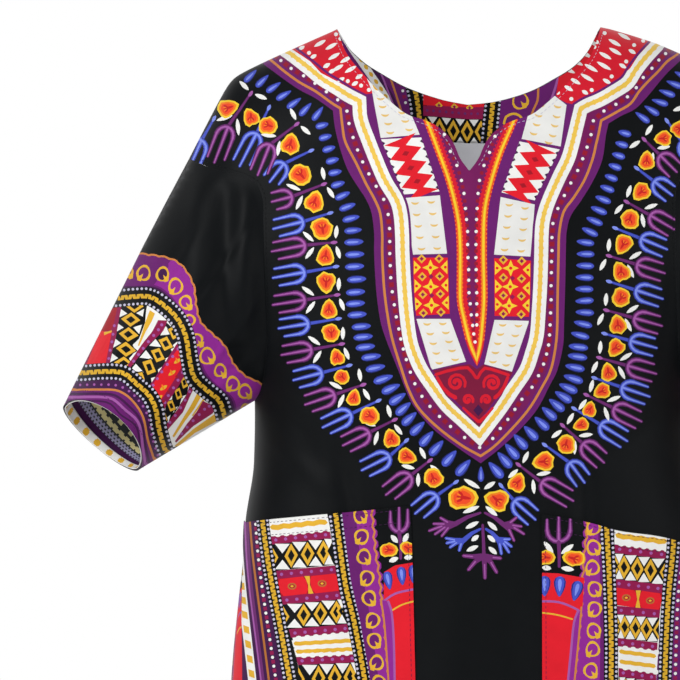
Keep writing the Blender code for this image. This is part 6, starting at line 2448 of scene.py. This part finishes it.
PATCH_LIFT = GAP + PATCH_WALL
FACING_LIFT = -(WALL + GAP + PATCH_WALL)
LABEL_LIFT = -(WALL + 2 * PATCH_WALL + 2 * GAP)
front = body_piece("front_cloth", panel_outline(False), printed(yoke), "black", False, 0.0, "wrong")
back = body_piece("back_cloth", panel_outline(True), printed(yoke), "black", True, 0.0, "wrong",
                  sides=printed(back_columns))
pocket_right = body_piece("pocket_right_cloth", pocket_outline(RIGHT_POCKET_TOP, RIGHT_POCKET_INNER_LOW_X),
                          printed(column), "black", False, PATCH_LIFT, "wrong", mouth=RIGHT_POCKET_TOP)
pocket_left = body_piece("pocket_left_cloth", pocket_outline(LEFT_POCKET_TOP, LEFT_POCKET_INNER_LOW_X),
                         printed(column_right), "black", False, PATCH_LIFT, "wrong", mouth=LEFT_POCKET_TOP)
facing = body_piece("facing_cloth", facing_outline(), printed(facing_print), "crimson", True, FACING_LIFT,
                    "wrong", inward=True)
label = body_piece("label_cloth", label_outline(), Print(), "tape", True, LABEL_LIFT, "tape", inward=True)


def sleeve_chart(whole):
    """Chart places laid on the front half of a sleeve."""
    z = (CHART_SHOULDER - whole[:, 1]) * CHART
    turn, run = sleeve_place((CHART_CENTRE - whole[:, 0]) * CHART + lean(z), z)
    return np.stack([turn * SLEEVE_TURN, run * SLEEVE_RUN], axis=-1)


steps = np.linspace(0, 1, 55)
sleeve_outline = np.concatenate([
    np.stack([steps, 0 * steps], axis=-1),
    np.stack([0 * steps + 1, steps], axis=-1)[1:],
    np.stack([1 - steps, 0 * steps + 1], axis=-1)[1:],
    np.stack([0 * steps, 1 - steps], axis=-1)[1:-1],
]) * (SLEEVE_TURN, SLEEVE_RUN)
sleeve_art = printed(sleeve_print)
sleeve_flat, sleeve_tris, sleeve_over = lay_out(sleeve_outline, laid(sleeve_art, sleeve_chart))
sleeve_dyes = ["black" if k < 0 else sleeve_art.shapes[k][0] for k in sleeve_over]
sleeve_layout = (sleeve_flat, sleeve_tris, sleeve_dyes)
sleeve_right = sleeve_piece("sleeve_right_cloth", -1.0, sleeve_layout, "wrong")
sleeve_left = sleeve_piece("sleeve_left_cloth", 1.0, sleeve_layout, "wrong")
cuff_right = cuff_piece("cuff_hem_right_cloth", -1.0)
cuff_left = cuff_piece("cuff_hem_left_cloth", 1.0)

# ---------------------------------------------------------------- stitching

STITCH_STEP = 4.4 * MM
STITCH_LENGTH = 2.9 * MM
STITCH_HALF = 0.26 * MM
STITCH_HEIGHT = 0.24 * MM
STITCH_LIFT = 0.05 * MM
STITCH_INSET = 2.6 * MM
POCKET_HEM = 13.0 * MM
BODY_HEM = 14.0 * MM
CUFF_STITCH_RUN = 1.0 - 9.6 * MM / SLEEVE_RUN


def inset(line, distance):
    """Flat line moved to its right hand, onto its panel."""
    ahead = unit(np.gradient(line, axis=0))
    return line + np.stack([ahead[:, 1], -ahead[:, 0]], axis=-1) * distance


def on_body(flat, back, lift, mouth=None, outward=1.0):
    """Places of a run on the body's cloth, and the way out of the cloth there."""
    places = body_skin(flat, back, lift + outward * STITCH_LIFT, mouth)
    above = body_skin(flat, back, lift + outward * MM, mouth)
    return places, unit(above - places)


def on_sleeve(run, side):
    """Ring of places round a sleeve, and the way out of the cloth there."""
    turns = np.linspace(0, 2, 361)
    rings = []
    for lift in (STITCH_LIFT, MM):
        ring_points = sleeve_skin(turns, np.full(361, run), lift)
        ring_points[:, 0] = ring_points[:, 0] * side + lean(ring_points[:, 2])
        rings.append(ring_points)
    return rings[0], unit(rings[1] - rings[0])


def stitching(name, runs, dye):
    """Rows of thread stitches, each a small bead drawn out along its row."""
    points = []
    for places, out in runs:
        steps = lengths(places)
        middles = np.arange(STITCH_STEP / 2, steps[-1] - STITCH_LENGTH / 2, STITCH_STEP)

        def at(table, reach):
            return np.stack([np.interp(middles + reach, steps, table[:, k]) for k in range(3)], axis=-1)

        ahead = unit(at(places, STITCH_LENGTH / 2) - at(places, -STITCH_LENGTH / 2))
        up = unit(at(out, 0.0))
        across = np.cross(ahead, up)
        rows = [at(places, -STITCH_LENGTH / 2)]
        for reach in (-0.3 * STITCH_LENGTH, 0.3 * STITCH_LENGTH):
            core = at(places, reach)
            rows += [core + across * STITCH_HALF, core + up * STITCH_HEIGHT, core - across * STITCH_HALF,
                     core - up * STITCH_LIFT]
        rows.append(at(places, STITCH_LENGTH / 2))
        points.append(np.stack(rows, axis=1).reshape(-1, 3))
    points = np.concatenate(points)
    tris = []
    for k in range(4):
        n = (k + 1) % 4
        tris += [(0, 1 + k, 1 + n), (1 + k, 5 + k, 5 + n), (1 + k, 5 + n, 1 + n), (5 + k, 9, 5 + n)]
    tris = (np.arange(len(points) // 10)[:, None, None] * 10 + np.array(tris)[None]).reshape(-1, 3)
    corner = points[tris]
    volume = np.sum(corner[:, 0] * np.cross(corner[:, 1], corner[:, 2]))
    if volume < 0:
        tris = tris[:, ::-1]
    return make_mesh(name, points, [tuple(t) for t in tris], soft_normals(points, tris), [dye] * len(tris))


def mirrored(line):
    """Same run on the other half of a panel."""
    return line[::-1] * np.array([-1.0, 1.0])


def neck_runs(back):
    """Edge stitching of a neckline, each half on its own."""
    neck = inset(half_outline(back)[0], STITCH_INSET)[2:]
    return [on_body(line, back, 0.0) for line in (neck, mirrored(neck))]


def panel_runs(back):
    """Armhole edges and hem of a panel."""
    hole = inset(half_outline(back)[2], STITCH_INSET)[3:-3]
    hem = hem_line(back)[2:-2] + np.array([0.0, BODY_HEM])
    return [on_body(line, back, 0.0) for line in (hole, mirrored(hole), hem)]


def pocket_runs(top_table, inner_low_x):
    """Edge stitching down the free side and along the bottom of a pocket, and the hem of its mouth."""
    outline = pocket_outline(top_table, inner_low_x)
    if inner_low_x < 0:
        outline = outline[::-1]
        top, edge = outline[-48:], outline[:-48][1:75]
    else:
        top, edge = outline[:48], outline[48:][43:-1]
    runs = [inset(top, STITCH_INSET), inset(top, POCKET_HEM), inset(edge, STITCH_INSET)]
    return [on_body(line[2:-2], False, PATCH_LIFT, top_table) for line in runs]


facing_edge = facing_outline()
facing_turn = int(np.argmax(facing_edge[:, 0])) + 2
facing_end = len(facing_edge) - facing_turn - 2
label_edge = label_outline()
label_sides = [inset(label_edge[part][::-1], STITCH_INSET / 2) for part in (slice(8, 17), slice(24, 32))]
STITCHES = {
    "front": [stitching("stitches_front", panel_runs(False), "black"),
              stitching("stitches_neck_front", neck_runs(False), "pearl")],
    "back": [stitching("stitches_back", panel_runs(True), "black"),
             stitching("stitches_neck_back", neck_runs(True), "crimson")],
    "sleeve_right": [stitching("stitches_sleeve_right", [on_sleeve(CUFF_STITCH_RUN, -1.0)], "plum")],
    "sleeve_left": [stitching("stitches_sleeve_left", [on_sleeve(CUFF_STITCH_RUN, 1.0)], "plum")],
    "pocket_right": [stitching("stitches_pocket_right",
                               pocket_runs(RIGHT_POCKET_TOP, RIGHT_POCKET_INNER_LOW_X), "plum")],
    "pocket_left": [stitching("stitches_pocket_left",
                              pocket_runs(LEFT_POCKET_TOP, LEFT_POCKET_INNER_LOW_X), "plum")],
    "back_neck_facing": [stitching(
        "stitches_facing",
        [on_body(inset(facing_edge[facing_turn:facing_end], STITCH_INSET), True, FACING_LIFT, outward=-1.0)],
        "crimson")],
    "label": [stitching(
        "stitches_label",
        [on_body(side_run, True, LABEL_LIFT, outward=-1.0) for side_run in label_sides],
        "white")],
}

# Cloth piece, the node it dresses, its slot, the width and length it was cut to, its cut area and what it hangs on
PIECES = (
    (front, "front", "print_cloth", (0.608, 0.789), 0.323, "hung", ("back",)),
    (back, "back", "print_cloth", (0.768, 0.790), 0.392, "hung", ()),
    (sleeve_right, "sleeve_right", "print_cloth", (0.624, 0.248), 0.0865, "hung", ("front", "back")),
    (sleeve_left, "sleeve_left", "print_cloth", (0.624, 0.248), 0.0865, "hung", ("front", "back")),
    (cuff_right, "cuff_hem_right", "hem_selvage", (0.362, 0.010), 0.0031, "folded", ("sleeve_right",)),
    (cuff_left, "cuff_hem_left", "hem_selvage", (0.362, 0.010), 0.0031, "folded", ("sleeve_left",)),
    (pocket_right, "pocket_right", "border_print", (0.190, 0.195), 0.0333, "hung", ("front",)),
    (pocket_left, "pocket_left", "border_print", (0.192, 0.188), 0.0300, "hung", ("front",)),
    (facing, "back_neck_facing", "border_print", (0.352, 0.163), 0.0347, "hung", ("back",)),
    (label, "label", "label_tape", (0.030, 0.029), None, "laid", ("back_neck_facing",)),
)
for piece, node, slot, flat_size, cut_area, held, holder in PIECES:
    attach(piece, "root")
    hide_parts(node)
    thread = STITCHES.get(node, [])
    for rows_of_thread in thread:
        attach(rows_of_thread, "root")

# ---------------------------------------------------------------- floor, light and camera

FLOOR_Z = -0.76
FLOOR_HALF = 6

floor_mesh = bpy.data.meshes.new("floor")
floor_corners = [(x * FLOOR_HALF, y * FLOOR_HALF, FLOOR_Z) for x, y in ((-1, -1), (1, -1), (1, 1), (-1, 1))]
floor_mesh.from_pydata(floor_corners, [], [(0, 1, 2, 3)])
floor = placed("floor", floor_mesh)
floor_material = bpy.data.materials.new("floor_paint")
floor_material.use_nodes = True
floor_paint = floor_material.node_tree.nodes["Principled BSDF"].inputs
floor_paint["Base Color"].default_value = (0.93, 0.93, 0.93, 1)
floor_paint["Roughness"].default_value = 0.9
floor_mesh.materials.append(floor_material)

world = bpy.data.worlds.new("studio")
bpy.context.scene.world = world
world.use_nodes = True
# White behind the shirt and dimmer in front of it, so that the lamps give the folds their shape
sky = world.node_tree
sky_place = sky.nodes.new("ShaderNodeTexCoord")
sky_parts = sky.nodes.new("ShaderNodeSeparateXYZ")
sky_range = sky.nodes.new("ShaderNodeMapRange")
for socket, value in (("From Min", 0.25), ("From Max", 0.75), ("To Min", 0.55), ("To Max", 1.0)):
    sky_range.inputs[socket].default_value = value
sky.links.new(sky_place.outputs["Generated"], sky_parts.inputs["Vector"])
sky.links.new(sky_parts.outputs["Y"], sky_range.inputs["Value"])
sky.links.new(sky_range.outputs["Result"], sky.nodes["Background"].inputs["Strength"])
sky.nodes["Background"].inputs["Color"].default_value = (1.0, 1.0, 1.0, 1.0)


def lamp(name, place, target, size, power):
    """Square lamp turned towards a place."""
    light = bpy.data.lights.new(name, "AREA")
    light.shape = "SQUARE"
    light.size = size
    light.energy = power
    thing = placed(name, light)
    thing.location = place
    way = Vector(target) - Vector(place)
    thing.rotation_euler = way.to_track_quat("-Z", "Y").to_euler()


CHEST = (0, 0, -0.3)
lamp("key", (-2.0, -2.3, 1.1), CHEST, 0.9, 62)
lamp("fill", (2.3, -2.3, 0.2), CHEST, 1.2, 22)
lamp("rim", (0.4, 2.4, 1.6), CHEST, 1.6, 14)
lamp("neck", (0.0, -0.035, -0.26), (0.0, 0.06, -0.02), 0.09, 0.42)

PHOTO_SIDE = 680
SENSOR = 36.0
CAMERA_DISTANCE = 12.0
CHEST_DEPTH = 0.045

camera_data = bpy.data.cameras.new("camera")
camera = placed("camera", camera_data)
bpy.context.scene.camera = camera
camera.location = ((PHOTO_SIDE / 2 - CHART_CENTRE) * CHART, -CAMERA_DISTANCE - CHEST_DEPTH,
                   (CHART_SHOULDER - PHOTO_SIDE / 2) * CHART)
camera.rotation_euler = (math.pi / 2, 0, 0)
camera_data.sensor_width = SENSOR
camera_data.lens = SENSOR * CAMERA_DISTANCE / (PHOTO_SIDE * CHART)
camera_data.clip_end = 200.0
bpy.context.scene.view_settings.view_transform = "Standard"
